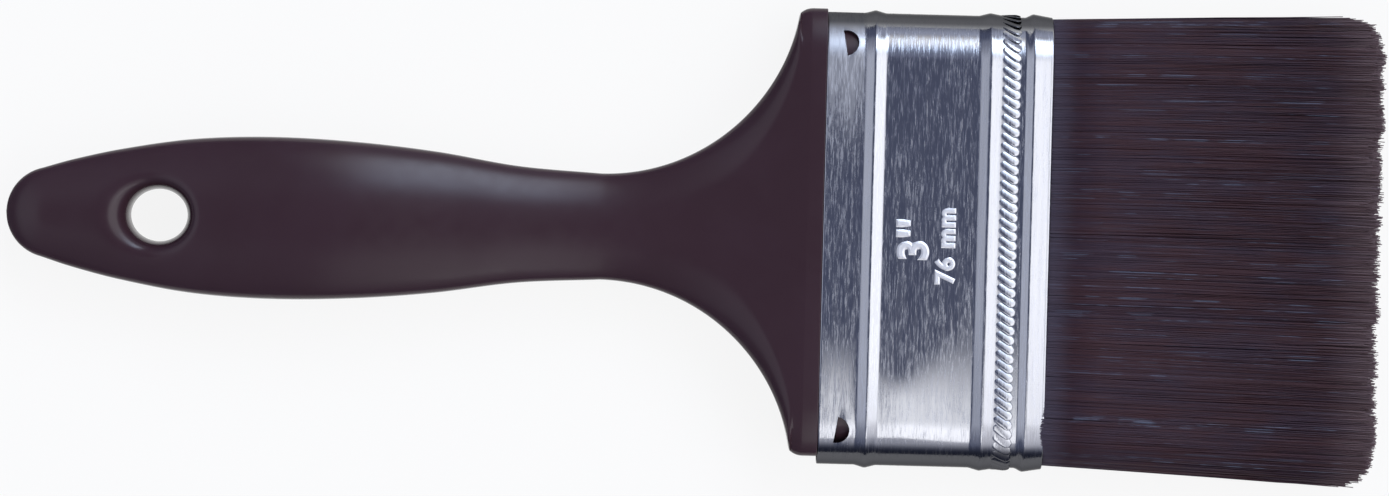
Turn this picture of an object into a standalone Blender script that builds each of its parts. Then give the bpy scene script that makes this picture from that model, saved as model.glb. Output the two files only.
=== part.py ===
"""Flat paint brush, 76 mm (3 in) wide, lying on its back face.

+X runs from the hanging end of the handle to the bristle tips, +Y across the width, +Z out of the front face.
The origin is under the middle of the brush, on the surface that it lies on. All sizes are in metres.
"""

import math
import random

import bmesh
import bpy
from mathutils import Matrix, Vector

# Lengths along the brush
HANDLE_LENGTH = 0.1373
FERRULE_LENGTH = 0.0379
LENGTH_OUT = 0.0559
TAIL_X = -(HANDLE_LENGTH + FERRULE_LENGTH + LENGTH_OUT) / 2
REAR_X = TAIL_X + HANDLE_LENGTH
MOUTH_X = REAR_X + FERRULE_LENGTH

# The belly of the grip reaches this far from the mid plane
MIDDLE_Z = 0.0087
GAP = 0.0003

# Ferrule: a drawn sheet, with its beads as (start, crest, end) and its crimp band from its rear edge
FERRULE_HALF_WIDTH = 0.0381
FERRULE_HALF_THICKNESS = 0.0080
SHEET = 0.0004
BEADS = ((0.0064, 0.0081, 0.0099), (0.0256, 0.0274, 0.0292), (0.0334, 0.0346, 0.0376))
BEAD_HEIGHT = 0.0005
BEAD_STEPS = 2
CRIMP = (0.0295, 0.0325)
CRIMP_DEPTH = 0.0003
CRIMP_SLOPE = 0.0004

# Stakes: half-round tabs cut from the sheet and bent into the handle, two on each face
STAKE_EDGE = 0.0030
STAKE_RADIUS = 0.0023
STAKE_INSETS = (0.0053, 0.0059)
STAKE_SKEW = math.radians(9)
STAKE_BEND = math.radians(70)
STAKE_SINK = 0.0001
NOTCH_SIZE = (0.0034, 0.0062, 0.0030)
NOTCH_BACK = 0.0010

# Handle: half sizes at distances from the hanging end
HANDLE_SHIFT = 0.0009
NOSE_RADIUS = 0.0077
NOSE_LENGTH = 0.0059
NOSE_EASE = 0.0040
GRIP_HALF_WIDTHS = (
    (NOSE_LENGTH, 0.00749),
    (0.0110, 0.00905),
    (0.0190, 0.01097),
    (0.0310, 0.01295),
    (0.0440, 0.01365),
    (0.0580, 0.01322),
    (0.0720, 0.01193),
    (0.0860, 0.00984),
    (0.1000, 0.00895),
)
HALF_THICKNESSES = (
    (0.0000, 0.0044),
    (0.0250, 0.0068),
    (0.0520, 0.0087),
    (0.0790, 0.0070),
    (0.1000, 0.0058),
    (0.1180, 0.0062),
    (0.1350, 0.0079),
    (HANDLE_LENGTH, 0.0079),
)
FLARE_START = 0.1000
FLARE_RADIUS = 0.0336
FLARE_SWEEP = math.radians(78.2)
COLLAR_HALF_WIDTH = 0.0376
COLLAR_FILLET = 0.0020
COLLAR_START = 0.1349
TONGUE_LENGTH = 0.0143
TONGUE_HALF_WIDTH = 0.0364
TONGUE_HALF_THICKNESS = 0.0072
POCKETS = 3
POCKET_SIZE = (0.0110, 0.0195, 0.0092)
POCKET_PITCH = 0.0220

# Hanging hole: narrow at the mid plane, with a rounded lip on each face
HOLE_FROM_TAIL = 0.0256
HOLE_WAIST_RADIUS = 0.0049
HOLE_WALL_RADIUS = 0.0063
HOLE_LIP = 0.0034
HOLE_REACH = 0.0067
HOLE_OVALITY = 0.90
CUTTER_REACH = 0.0120

# Inside the ferrule, from its rear edge
EPOXY = (0.0146, 0.0203)
EPOXY_HALF_WIDTH = 0.0374
EPOXY_HALF_THICKNESS = 0.0073
BUTT = (0.0206, 0.0352)
PLUG = (0.0206, 0.0346)
PLUG_LEVELS = (0.0015, 0.0043)
PLUG_HALF_WIDTH = 0.0330
PLUG_EDGE = 0.0004

# Filament pack: levels of its three rows in the ferrule and at the mouth, above the mid plane
PACK_HALF_WIDTH = 0.0371
PACK_HALF_THICKNESS = 0.0070
BUTT_LEVELS = {"front": (0.0046, 0.0070), "middle": (-0.0012, 0.0012), "back": (-0.0070, -0.0046)}
ROW_LEVELS = {"front": (0.0025, 0.0070), "middle": (-0.0022, 0.0022), "back": (-0.0070, -0.0025)}
ROW_SLICE = (-0.0024, -0.0009)
ROW_COLUMNS = 35
ROW_LAYERS = 2
STRAND_GAP = 0.00015

# The free stretch swells to a belly and draws in to the tips: spread across and through the pack from
# its roots, and the size of a strand's end next to the end before it
BELLY_SHARE = 0.20
BELLY_SPREAD = (1.017, 1.26)
BELLY_SIZE = 0.97
TIP_SPREAD = (1.083, 1.12)
TIP_SIZE = 0.88
TIP_CORNERS = {1: 0.0060, -1: 0.0064}
TIP_CROWN = 0.0022
TIP_RAGGED = 0.0016
SEED = 5

RING_POINTS = 36
GRIP_STEPS = 18
ARC_STEPS = 12

parts = None
cutters = None


def clear_scene():
    for scene_object in list(bpy.data.objects):
        bpy.data.objects.remove(scene_object, do_unlink=True)


def new_collection(name):
    collection = bpy.data.collections.new(name)
    bpy.context.scene.collection.children.link(collection)
    return collection


def finish(name, colour, roughness, metallic=0.0):
    """A material with one colour, given in linear values."""
    material = bpy.data.materials.new(name)
    material.use_nodes = True
    shader = material.node_tree.nodes["Principled BSDF"]
    shader.inputs["Base Color"].default_value = (*colour, 1.0)
    shader.inputs["Roughness"].default_value = roughness
    shader.inputs["Metallic"].default_value = metallic
    material.diffuse_color = (*colour, 1.0)
    return material


def add_part(name, mesh, material, place=(0, 0, 0)):
    """Turns a bmesh into a named object of the brush."""
    bmesh.ops.recalc_face_normals(mesh, faces=mesh.faces)
    data = bpy.data.meshes.new(name)
    mesh.to_mesh(data)
    mesh.free()
    data.materials.append(material)
    data.shade_smooth()
    data.set_sharp_from_angle(angle=math.radians(35))
    part = bpy.data.objects.new(name, data)
    part.location = place
    parts.objects.link(part)
    return part


def add_cutter(name, mesh):
    """Turns a bmesh into a helper that a Boolean uses and a render leaves out."""
    data = bpy.data.meshes.new(name)
    mesh.to_mesh(data)
    mesh.free()
    cutter = bpy.data.objects.new(name, data)
    cutter.hide_render = True
    cutter.display_type = "WIRE"
    cutters.objects.link(cutter)
    return cutter


def combine(part, helper, operation):
    modifier = part.modifiers.new(helper.name, "BOOLEAN")
    modifier.operation = operation
    modifier.object = helper
    modifier.solver = "EXACT"


def along(keys, at):
    """Value at a place on the smooth curve through (place, value) keys."""
    last = len(keys) - 1
    index = max((i for i in range(last) if keys[i][0] <= at), default=0)

    def slope(key):
        before = keys[max(key - 1, 0)]
        after = keys[min(key + 1, last)]
        return (after[1] - before[1]) / (after[0] - before[0])

    (start, low), (end, high) = keys[index], keys[index + 1]
    span = end - start
    t = min(max((at - start) / span, 0.0), 1.0)
    ease = t * t * (3 - 2 * t)
    bulge = t * (1 - t) * span
    return low + (high - low) * ease + bulge * ((1 - t) * slope(index) - t * slope(index + 1))


def section(x, half_width, half_thickness, squareness=1.0, shift=0.0):
    """Ring at x: an ellipse at squareness 0, straight faces with half-round edges at 1."""
    ring = []
    for index in range(RING_POINTS):
        turn = 2 * math.pi * (index + 0.5) / RING_POINTS
        oval = half_width * math.cos(turn)
        edge = math.copysign(half_width - half_thickness, oval) + half_thickness * math.cos(turn)
        y = oval + (edge - oval) * squareness
        ring.append(Vector((x, y + shift, MIDDLE_Z + half_thickness * math.sin(turn))))
    return ring


def loft(rings, capped=True):
    """Skins rings of equal length in order, and closes both ends if capped."""
    mesh = bmesh.new()
    loops = [[mesh.verts.new(point) for point in ring] for ring in rings]
    for loop, following in zip(loops, loops[1:]):
        for index, corner in enumerate(loop):
            after = (index + 1) % len(loop)
            mesh.faces.new((corner, loop[after], following[after], following[index]))
    if capped:
        mesh.faces.new(loops[0])
        mesh.faces.new(loops[-1])
    return mesh


def add_box(mesh, size, matrix):
    """A box of a size that starts at the local x of 0 and is centred on y and z."""
    shape = Matrix.Translation((size[0] / 2, 0, 0)) @ Matrix.Diagonal((*size, 1.0))
    bmesh.ops.create_cube(mesh, size=1.0, matrix=matrix @ shape)


def add_half_disc(mesh, radius, low, high, matrix):
    """A half-round plate between two heights, with its straight edge on the local y axis."""
    turns = [math.pi * (index / ARC_STEPS - 0.5) for index in range(ARC_STEPS + 1)]
    outline = [mesh.verts.new((radius * math.cos(turn), radius * math.sin(turn), low)) for turn in turns]
    plate = bmesh.ops.extrude_face_region(mesh, geom=[mesh.faces.new(outline)])["geom"]
    raised = [item for item in plate if isinstance(item, bmesh.types.BMVert)]
    bmesh.ops.translate(mesh, verts=raised, vec=(0, 0, high - low))
    bmesh.ops.transform(mesh, verts=outline + raised, matrix=matrix)


def stake_places():
    """The frame of each stake: x along the brush from the tab's straight edge, z out of the sheet."""
    round_centre = FERRULE_HALF_WIDTH - FERRULE_HALF_THICKNESS
    places = []
    for side, inset in zip((1, -1), STAKE_INSETS):
        off_round = FERRULE_HALF_WIDTH - inset - round_centre
        lean = math.asin(off_round / FERRULE_HALF_THICKNESS)
        for face in (1, -1):
            y = side * (round_centre + off_round)
            z = MIDDLE_Z + face * FERRULE_HALF_THICKNESS * math.cos(lean)
            upright = Matrix.Rotation(0.0 if face > 0 else math.pi, 4, "X")
            tilt = Matrix.Rotation(-side * face * lean, 4, "X")
            skew = Matrix.Rotation(side * face * STAKE_SKEW, 4, "Z")
            places.append(Matrix.Translation((REAR_X + STAKE_EDGE, y, z)) @ upright @ tilt @ skew)
    return places


def handle_half_width(distance):
    if distance < NOSE_LENGTH:
        return math.sqrt(NOSE_RADIUS**2 - (NOSE_RADIUS - distance) ** 2)
    if distance < FLARE_START:
        return along(GRIP_HALF_WIDTHS, distance)
    rise = min(distance - FLARE_START, FLARE_RADIUS * math.sin(FLARE_SWEEP))
    flare = GRIP_HALF_WIDTHS[-1][1] + FLARE_RADIUS - math.sqrt(FLARE_RADIUS**2 - rise**2)
    short = min(max(COLLAR_START - distance, 0.0), COLLAR_FILLET)
    collar = COLLAR_HALF_WIDTH - COLLAR_FILLET + math.sqrt(COLLAR_FILLET**2 - short**2)
    return collar if distance > FLARE_START + rise else min(flare, collar)


def handle_half_thickness(distance):
    level = along(HALF_THICKNESSES, distance)
    short = max(1 - distance / NOSE_EASE, 0.0)
    return level * math.sqrt(1 - short**2)


def handle_stations():
    """Distances of the handle's rings: even turns on the arcs, even steps on the grip."""
    nose = [NOSE_LENGTH * (1 - math.cos(math.pi / 2 * (index + 0.6) / 6)) for index in range(6)]
    grip_step = (FLARE_START - NOSE_LENGTH) / GRIP_STEPS
    grip = [NOSE_LENGTH + grip_step * index for index in range(GRIP_STEPS)]
    turns = [FLARE_SWEEP * index / ARC_STEPS for index in range(ARC_STEPS + 1)]
    flare = [FLARE_START + FLARE_RADIUS * math.sin(turn) for turn in turns]
    fillet = [COLLAR_START - COLLAR_FILLET * math.cos(math.pi / 2 * index / 4) for index in range(1, 5)]
    return nose + grip + flare + fillet + [HANDLE_LENGTH - GAP]


def handle_ring(distance):
    x = TAIL_X + distance
    squareness = min(max((distance - FLARE_START) / FLARE_RADIUS, 0.0), 1.0)
    return section(
        x, handle_half_width(distance), handle_half_thickness(distance), squareness, HANDLE_SHIFT
    )


def hole_cutter():
    """The hanging hole as a turned profile, narrow in the middle, with a rounded lip at both ends."""
    lip_level = HOLE_REACH - HOLE_LIP
    lip_radius = HOLE_WALL_RADIUS + HOLE_LIP
    turns = [math.pi / 2 * (1 - index / 6) for index in range(7)]
    upper = [(0.0, CUTTER_REACH), (lip_radius, CUTTER_REACH)]
    for turn in turns:
        upper.append((lip_radius - HOLE_LIP * math.cos(turn), lip_level + HOLE_LIP * math.sin(turn)))
    lower = [(radius, -level) for radius, level in reversed(upper)]
    profile = upper + [(HOLE_WAIST_RADIUS, 0.0)] + lower
    mesh = bmesh.new()
    corners = [mesh.verts.new((radius, 0, level)) for radius, level in profile]
    for corner, following in zip(corners, corners[1:]):
        mesh.edges.new((corner, following))
    cutter = add_cutter("hanging_hole_cutter", mesh)
    cutter.location = (TAIL_X + HOLE_FROM_TAIL, HANDLE_SHIFT, MIDDLE_Z)
    cutter.scale.y = HOLE_OVALITY
    turned = cutter.modifiers.new("turned", "SCREW")
    turned.steps = 24
    turned.render_steps = 24
    turned.use_merge_vertices = True
    turned.merge_threshold = 0.00001
    return cutter


def pocket_cutter():
    """The coring pockets, open at the end of the tongue."""
    mesh = bmesh.new()
    length = POCKET_SIZE[0]
    for index in range(POCKETS):
        y = HANDLE_SHIFT + (index - (POCKETS - 1) / 2) * POCKET_PITCH
        start = Matrix.Translation((REAR_X + TONGUE_LENGTH - length, y, MIDDLE_Z))
        add_box(mesh, (length + CUTTER_REACH, *POCKET_SIZE[1:]), start)
    return add_cutter("tongue_pocket_cutter", mesh)


def notch_cutter():
    """A recess in the tongue under each stake."""
    mesh = bmesh.new()
    drop = Matrix.Translation((-NOTCH_BACK, 0, -NOTCH_SIZE[2] / 2))
    for place in stake_places():
        add_box(mesh, NOTCH_SIZE, place @ drop)
    return add_cutter("stake_notch_cutter", mesh)


def build_handle(material):
    rings = [handle_ring(distance) for distance in handle_stations()]
    for x in (HANDLE_LENGTH - GAP, HANDLE_LENGTH + TONGUE_LENGTH):
        rings.append(
            section(TAIL_X + x, TONGUE_HALF_WIDTH, TONGUE_HALF_THICKNESS, shift=HANDLE_SHIFT)
        )
    rings[0] = [Vector((TAIL_X, point.y, point.z)) for point in rings[0]]
    handle = add_part("handle", loft(rings), material)
    for cutter in (hole_cutter(), pocket_cutter(), notch_cutter()):
        combine(handle, cutter, "DIFFERENCE")


def ferrule_stations():
    """(distance from the rear edge, height above the plain sheet) along the ferrule."""
    stations = [(0.0, 0.0), (FERRULE_LENGTH, 0.0)]
    for start, crest, end in BEADS:
        stations.append((crest, BEAD_HEIGHT))
        for step in range(BEAD_STEPS):
            share = step / BEAD_STEPS
            height = BEAD_HEIGHT * math.sin(math.pi / 2 * share) ** 2
            stations += [(foot + (crest - foot) * share, height) for foot in (start, end)]
    start, end = CRIMP
    stations += [(start, 0.0), (start + CRIMP_SLOPE, -CRIMP_DEPTH)]
    stations += [(end - CRIMP_SLOPE, -CRIMP_DEPTH), (end, 0.0)]
    return sorted(stations)


def stake_hole_cutter():
    mesh = bmesh.new()
    for place in stake_places():
        add_half_disc(mesh, STAKE_RADIUS, -3 * SHEET, 3 * SHEET, place)
    bmesh.ops.recalc_face_normals(mesh, faces=mesh.faces)
    return add_cutter("stake_hole_cutter", mesh)


def stake_tabs():
    mesh = bmesh.new()
    bent = Matrix.Translation((0, 0, -STAKE_SINK)) @ Matrix.Rotation(STAKE_BEND, 4, "Y")
    for place in stake_places():
        add_half_disc(mesh, STAKE_RADIUS - GAP, -SHEET, 0.0, place @ bent)
    bmesh.ops.recalc_face_normals(mesh, faces=mesh.faces)
    return add_cutter("stake_tabs", mesh)


def build_ferrule(material):
    rings = []
    for distance, height in ferrule_stations():
        half_width = FERRULE_HALF_WIDTH + height
        rings.append(section(REAR_X + distance, half_width, FERRULE_HALF_THICKNESS + height))
    ferrule = add_part("ferrule", loft(rings, capped=False), material)
    wall = ferrule.modifiers.new("sheet", "SOLIDIFY")
    wall.thickness = SHEET
    wall.offset = -1.0
    combine(ferrule, stake_hole_cutter(), "DIFFERENCE")
    combine(ferrule, stake_tabs(), "UNION")


def build_epoxy(material):
    rings = [section(REAR_X + end, EPOXY_HALF_WIDTH, EPOXY_HALF_THICKNESS) for end in EPOXY]
    add_part("epoxy_setting", loft(rings), material)


def build_plug(name, face, material):
    """A spacer strip between two rows, on the front or the back of the middle row."""
    low, high = PLUG_LEVELS
    size = (PLUG[1] - PLUG[0], 2 * PLUG_HALF_WIDTH, high - low)
    mesh = bmesh.new()
    level = MIDDLE_Z + face * (low + high) / 2
    add_box(mesh, size, Matrix.Translation((REAR_X + PLUG[0], 0, level)))
    bmesh.ops.bevel(mesh, geom=mesh.edges[:], offset=PLUG_EDGE, segments=1, affect="EDGES")
    add_part(name, mesh, material)


def pack_half_width(level):
    """Half-width of the filament pack at a level: its narrow edges are half round."""
    flat = PACK_HALF_WIDTH - PACK_HALF_THICKNESS
    return flat + math.sqrt(max(PACK_HALF_THICKNESS**2 - level**2, 0.0))


def pack_slice(levels, columns, layers, back, front):
    """A slice of one row of the pack, and the faces of its front."""
    mesh = bmesh.new()
    bmesh.ops.create_grid(mesh, x_segments=columns, y_segments=layers, size=1.0)
    low, high = levels
    for vert in mesh.verts:
        level = low + (high - low) * (vert.co.y + 1) / 2
        vert.co = (back, vert.co.x * pack_half_width(level), level)
    grown = bmesh.ops.extrude_face_region(mesh, geom=mesh.faces[:])["geom"]
    for vert in [item for item in grown if isinstance(item, bmesh.types.BMVert)]:
        vert.co.x = front
    return mesh, [item for item in grown if isinstance(item, bmesh.types.BMFace)]


def build_butt(row, material):
    """The stretch of a row that is held in the ferrule."""
    mesh, _ = pack_slice(BUTT_LEVELS[row], 1, 4, REAR_X + BUTT[0], REAR_X + BUTT[1])
    bmesh.ops.translate(mesh, verts=mesh.verts, vec=(0, 0, MIDDLE_Z))
    add_part("bristle_butt_" + row, mesh, material)


def tip_reach(y, level, jitter):
    """How far past the mouth a strand ends: square across, rounded at the corners, crowned through."""
    half_width = PACK_HALF_WIDTH * TIP_SPREAD[0]
    corner = TIP_CORNERS[1 if y > 0 else -1]
    into_corner = min(max(abs(y) - (half_width - corner), 0.0), corner)
    corner_drop = corner - math.sqrt(corner**2 - into_corner**2)
    crown_drop = TIP_CROWN * (level / (PACK_HALF_THICKNESS * TIP_SPREAD[1])) ** 2
    return LENGTH_OUT - corner_drop - crown_drop - TIP_RAGGED * jitter


def move_end(end, x, spread, size):
    """Moves a strand's end face out to x, spread from the middle of the pack and scaled."""
    middle = end.calc_center_median()
    across, through = spread
    for vert in end.verts:
        off_y = (vert.co.y - middle.y) * size
        off_z = (vert.co.z - middle.z) * size
        vert.co = (x, (middle.y + off_y) * across, (middle.z + off_z) * through)


def build_row(row, material, draw):
    """The free stretch of a row: three-sided strands on a slice of the pack, turning at the mouth."""
    mesh, front = pack_slice(ROW_LEVELS[row], ROW_COLUMNS, ROW_LAYERS, *ROW_SLICE)
    bmesh.ops.recalc_face_normals(mesh, faces=mesh.faces)
    roots = bmesh.ops.triangulate(mesh, faces=front)["faces"]
    bmesh.ops.inset_individual(mesh, faces=roots, thickness=STRAND_GAP, use_even_offset=True)
    ends = bmesh.ops.extrude_discrete_faces(mesh, faces=roots)["faces"]
    for end in ends:
        move_end(end, LENGTH_OUT * BELLY_SHARE, BELLY_SPREAD, BELLY_SIZE)
    spread = [tip / belly for tip, belly in zip(TIP_SPREAD, BELLY_SPREAD)]
    for end in bmesh.ops.extrude_discrete_faces(mesh, faces=ends)["faces"]:
        middle = end.calc_center_median()
        reach = tip_reach(middle.y * spread[0], middle.z * spread[1], draw.random())
        move_end(end, reach, spread, TIP_SIZE)
    add_part("bristle_row_" + row, mesh, material, place=(MOUTH_X, 0, MIDDLE_Z))


def main():
    global parts, cutters
    clear_scene()
    parts = new_collection("paint_brush")
    cutters = new_collection("paint_brush_cutters")
    moulded = finish("black_moulded_plastic", (0.030, 0.021, 0.028), 0.42)
    metal = finish("bright_ferrule_metal", (0.62, 0.63, 0.66), 0.28, metallic=1.0)
    resin = finish("amber_epoxy", (0.36, 0.20, 0.07), 0.25)
    strip = finish("pale_spacer_strip", (0.52, 0.38, 0.22), 0.8)
    filament = finish("dark_filament", (0.036, 0.024, 0.034), 0.5)
    build_handle(moulded)
    build_ferrule(metal)
    build_epoxy(resin)
    for name, face in (("front", 1), ("back", -1)):
        build_plug("spacer_plug_" + name, face, strip)
    draw = random.Random(SEED)
    for row in ROW_LEVELS:
        build_butt(row, filament)
        build_row(row, filament, draw)


main()
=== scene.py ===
"""Dressed model of a flat paint brush, 76 mm (3 in) wide: its fine shapes, finishes and studio stage.

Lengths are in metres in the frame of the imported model: +X towards the bristle tips, +Y across the width
and +Z out of the front face. Distances along the handle run from its hanging end, and along the ferrule
from its rear edge.
"""

import math
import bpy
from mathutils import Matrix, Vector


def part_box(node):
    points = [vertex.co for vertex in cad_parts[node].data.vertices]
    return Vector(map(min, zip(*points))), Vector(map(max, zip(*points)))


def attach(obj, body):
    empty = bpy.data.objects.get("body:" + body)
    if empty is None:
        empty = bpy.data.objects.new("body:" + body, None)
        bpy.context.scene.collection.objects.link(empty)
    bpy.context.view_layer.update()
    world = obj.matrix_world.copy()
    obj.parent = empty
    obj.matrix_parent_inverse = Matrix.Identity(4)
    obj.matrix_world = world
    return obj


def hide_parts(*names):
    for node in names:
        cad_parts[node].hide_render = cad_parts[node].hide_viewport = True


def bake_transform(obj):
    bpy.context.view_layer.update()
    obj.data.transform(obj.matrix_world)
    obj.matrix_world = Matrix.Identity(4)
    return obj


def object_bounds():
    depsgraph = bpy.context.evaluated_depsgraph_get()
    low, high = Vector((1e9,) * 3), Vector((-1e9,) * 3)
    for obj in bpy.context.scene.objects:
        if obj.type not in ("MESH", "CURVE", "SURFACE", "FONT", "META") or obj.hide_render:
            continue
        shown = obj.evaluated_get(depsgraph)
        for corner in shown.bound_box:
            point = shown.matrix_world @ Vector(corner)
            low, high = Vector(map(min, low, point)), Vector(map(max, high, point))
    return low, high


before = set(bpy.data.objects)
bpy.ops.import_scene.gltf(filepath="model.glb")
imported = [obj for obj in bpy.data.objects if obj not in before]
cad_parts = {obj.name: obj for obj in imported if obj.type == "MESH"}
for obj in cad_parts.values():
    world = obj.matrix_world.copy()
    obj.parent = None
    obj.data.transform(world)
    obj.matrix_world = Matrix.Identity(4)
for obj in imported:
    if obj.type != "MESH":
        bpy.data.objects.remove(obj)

from types import SimpleNamespace

import bmesh
import bpy
from bpy.props import FloatProperty, FloatVectorProperty, IntProperty, PointerProperty, StringProperty
from mathutils import Matrix, Vector

bl_info = {
    "name": "Flat paint brush",
    "version": (1, 0, 0),
    "blender": (4, 5, 0),
    "location": "3D View > Sidebar > Paint Brush",
    "description": "Dresses the packed paint brush with fine shapes, procedural finishes and a studio stage",
    "category": "Add Mesh",
}

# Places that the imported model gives
CAD_BOX = [list(corner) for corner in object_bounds()]
HANDLE_LOW, HANDLE_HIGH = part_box("handle")
FERRULE_LOW, FERRULE_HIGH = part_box("ferrule")
BUTT_LOW, BUTT_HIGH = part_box("bristle_butt_middle")
TAIL_X = HANDLE_LOW[0]
REAR_X = FERRULE_LOW[0]
MOUTH_X = FERRULE_HIGH[0]
TIP_X = CAD_BOX[1][0]
HANDLE_Y = (HANDLE_LOW[1] + HANDLE_HIGH[1]) / 2
MIDDLE_Z = (FERRULE_LOW[2] + FERRULE_HIGH[2]) / 2
HANDLE_LENGTH = REAR_X - TAIL_X
FERRULE_LENGTH = MOUTH_X - REAR_X
LENGTH_OUT = TIP_X - MOUTH_X

# Handle: its fixed places and the fineness of its mesh
NOSE_RADIUS = 0.0077
NOSE_LENGTH = 0.0059
NOSE_EASE = 0.0075
NOSE_WALL = 0.0012
EDGE_SLOPE = 0.90
EDGE_HARDNESS = 30.0
SLOPE_STEP = 0.0002
FULL_REACH = 1 - 1e-12
FLARE_START = 0.1000
COLLAR_START = 0.1348
COLLAR_FILLET = 0.0030
COLLAR_EDGE = 0.00015
TONGUE_LENGTH = 0.0143
TONGUE_HALF_WIDTH = 0.0364
TONGUE_HALF_THICKNESS = 0.0072
HOLE_OVALITY = 0.90
HOLE_ROUNDNESS = 2.8
LIP_SKEW = 0.40
TAIL_PATCH = 0.0460
RING_STEPS = 36
FLAT_SHARE = 0.30
SIDE_STEPS = 40
NOSE_STEPS = 20
LIP_STEPS = 16
OUTER_STEPS = 24
GRIP_STEPS = 40
FLARE_STEPS = 44
FILLET_STEPS = 12
EDGE_STEPS = 4
SEAM = (0.00008, 0.00024)
SEAM_DEPTH = 0.00006
GRAIN_DEPTH = 0.00003

# Ferrule: beads as (start, crest, end), the sloping crimp band and the flat panel, from its rear edge
BEADS = ((0.0064, 0.0081, 0.0099), (0.0256, 0.0274, 0.0292), (0.0334, 0.0346, 0.0376))
CRIMP = (0.0292, 0.0321)
CRIMP_RISE = 0.00018
CRIMP_DEPTH = 0.00012
RIB_OVERHANG = 0.0003
RIB_BLUNTNESS = 0.5
RIB_SEGMENTS = 16
RIB_RINGS = 8
BAND_ROUND = 24
RIB_SIZES = (
    "place", "level", "half_width", "half_thickness", "length", "width", "height", "slant", "tilt", "fall",
)
CORNER_EASE = 0.00022
EASE_SAMPLES = 9
PANEL = (0.0104, 0.0251)
PANEL_STEP = 0.0009
PROFILE_STEP = 0.00016
FERRULE_STEPS = 56
FERRULE_ARC_SHARE = 0.54
INSIDE_EVERY = 3
LIP_TURNS = [math.radians(turn) for turn in (30, 60, 90, 120, 150)]

# Sag of its faces: where it starts below the middle, as (distance, start), where it ends and its shape
SAG_STARTS = (
    (0.0, 0.0122),
    (0.0052, 0.0138),
    (0.0091, 0.0203),
    (0.0142, 0.0226),
    (0.0198, 0.0154),
    (0.0226, 0.0102),
    (0.0246, 0.0058),
    (0.0379, 0.0046),
)
SAG_END = 0.0340
SAG_POWER = 1.9

# Stakes: their place and bend, the levels of their cutter in sheets, and the burr beside them
STAKE_EDGE = 0.0030
STAKE_INSETS = (0.0053, 0.0059)
STAKE_SKEW = math.radians(9)
STAKE_BEND = math.radians(70)
STAKE_ROUND = 20
STAKE_CUT = (-5, 3)
BURR_HEIGHT = 0.00010
BURR_WIDTH = 0.0008
BURR_REACH = 3
BURR_LEAD = 0.8

# Metal: where painted shade darkens its narrow sides, the rubbed patch behind the first bead, the worn mark
# with its painted highlight and the depth of its flecks
SIDE_SHADE_SHIFT = 0.00045
SIDE_SHADE_INSETS = (0.0040, 0.0020)
RUB_FADE = 0.0006
RUB_SPREAD = (0.007, 0.033)
WEAR_HEIGHT = 0.00004
FLECK_DEPTH = 0.0000025

# Size mark: (height, flank, foot from the rear edge, middle across) of each line, and its slope and spacing
MARK_LINES = ((0.0056, 0.00036, 0.0178, 0.0), (0.0034, 0.00026, 0.0222, -0.0009))
MARK_SLOPE = 0.37
MARK_SPACING = 1.12
MARK_CREASE = math.radians(8)

# Filament pack: its half sizes at the mouth and the outer and inner levels of its rows, from the mid plane
PACK_HALF_WIDTH = 0.0374
PACK_HALF_THICKNESS = 0.0072
ROW_LEVELS = {"front": (0.0072, 0.0020), "middle": (-0.0024, 0.0024), "back": (-0.0072, -0.0020)}
BUTT_LEVELS = {"front": (0.0070, 0.0046), "middle": (-0.0012, 0.0012), "back": (-0.0070, -0.0046)}
ROOT_BACK = 0.0024
LOWEST = 0.00015
EVEN_ACROSS = 0.5698402910
EVEN_THROUGH = 0.7548776662
ROW_SEEDS = 20
ROW_SEGMENTS = 5
MOST_STRANDS = 6200
TIP_TAPER = 0.6

# Filaments: the places and sizes of a row, the settings that shape it, what bunches it, and how it bends
ROW_SIZES = (
    "root_place", "length", "half_width", "half_thickness", "outer_level", "inner_level", "middle_level",
    "lowest", "crowding", "radius", "tip_radius",
)
ROW_SHAPE = (
    "jitter", "tip_half_width", "belly_half_thickness", "tip_half_thickness", "shift", "drift",
    "upper_corner", "lower_corner", "crown", "ragged", "tuft", "notch", "bunch", "fringe", "lean", "wave",
)
TUFT_SCALE = 900.0
SHEAF_SCALE = 230.0
NOTCH_SCALE = 1600.0
NOTCH_DEPTH = 0.1
NOTCHED = (0.42, 0.72)
TUFTED = (0.7, 1.4)
SEED_STEP = 0.01
STRAY_FROM = 0.988
STRAY_GAIN = 3.0
OUTERMOST = (0.482, 0.5)
BEND_POWER = 1.6
FLARE_POWER = 0.8
WAVE_TURN = 8.0
BELLY = (0.0, 0.24)
TAPER = (0.3, 1.0)

# Soft light: direction, slopes from the zenith where it fades in and out, in degrees, side fade, narrowness
# and colour of each band
LIGHT_BANDS = (
    ((1.0, 0.0), (10.0, 20.0), (56.0, 68.0), None, 2.5, (1.62, 1.62, 1.65)),
    ((-1.0, 0.0), (18.0, 30.0), (56.0, 68.0), None, 2.0, (0.54, 0.56, 0.62)),
    ((0.0, 1.0), (26.0, 49.0), (53.0, 72.0), (-0.04, 0.035), 2.0, (0.92, 0.87, 0.78)),
    ((0.0, 1.0), (18.0, 36.0), (50.0, 66.0), (0.05, 0.12), 4.0, (3.90, 4.70, 6.00)),
    ((0.0, 1.0), (4.0, 14.0), (40.0, 60.0), (-0.10, 0.03), 2.0, (0.10, 0.11, 0.15)),
    ((0.0, 1.0), (58.0, 72.0), (95.0, 100.0), (-0.04, 0.035), 2.0, (0.38, 0.40, 0.47)),
    ((0.0, -1.0), (14.0, 32.0), (48.0, 80.0), (-0.07, 0.06), 2.0, (0.60, 0.59, 0.60)),
)
SKY_COLOUR = (0.100, 0.114, 0.185)

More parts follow.
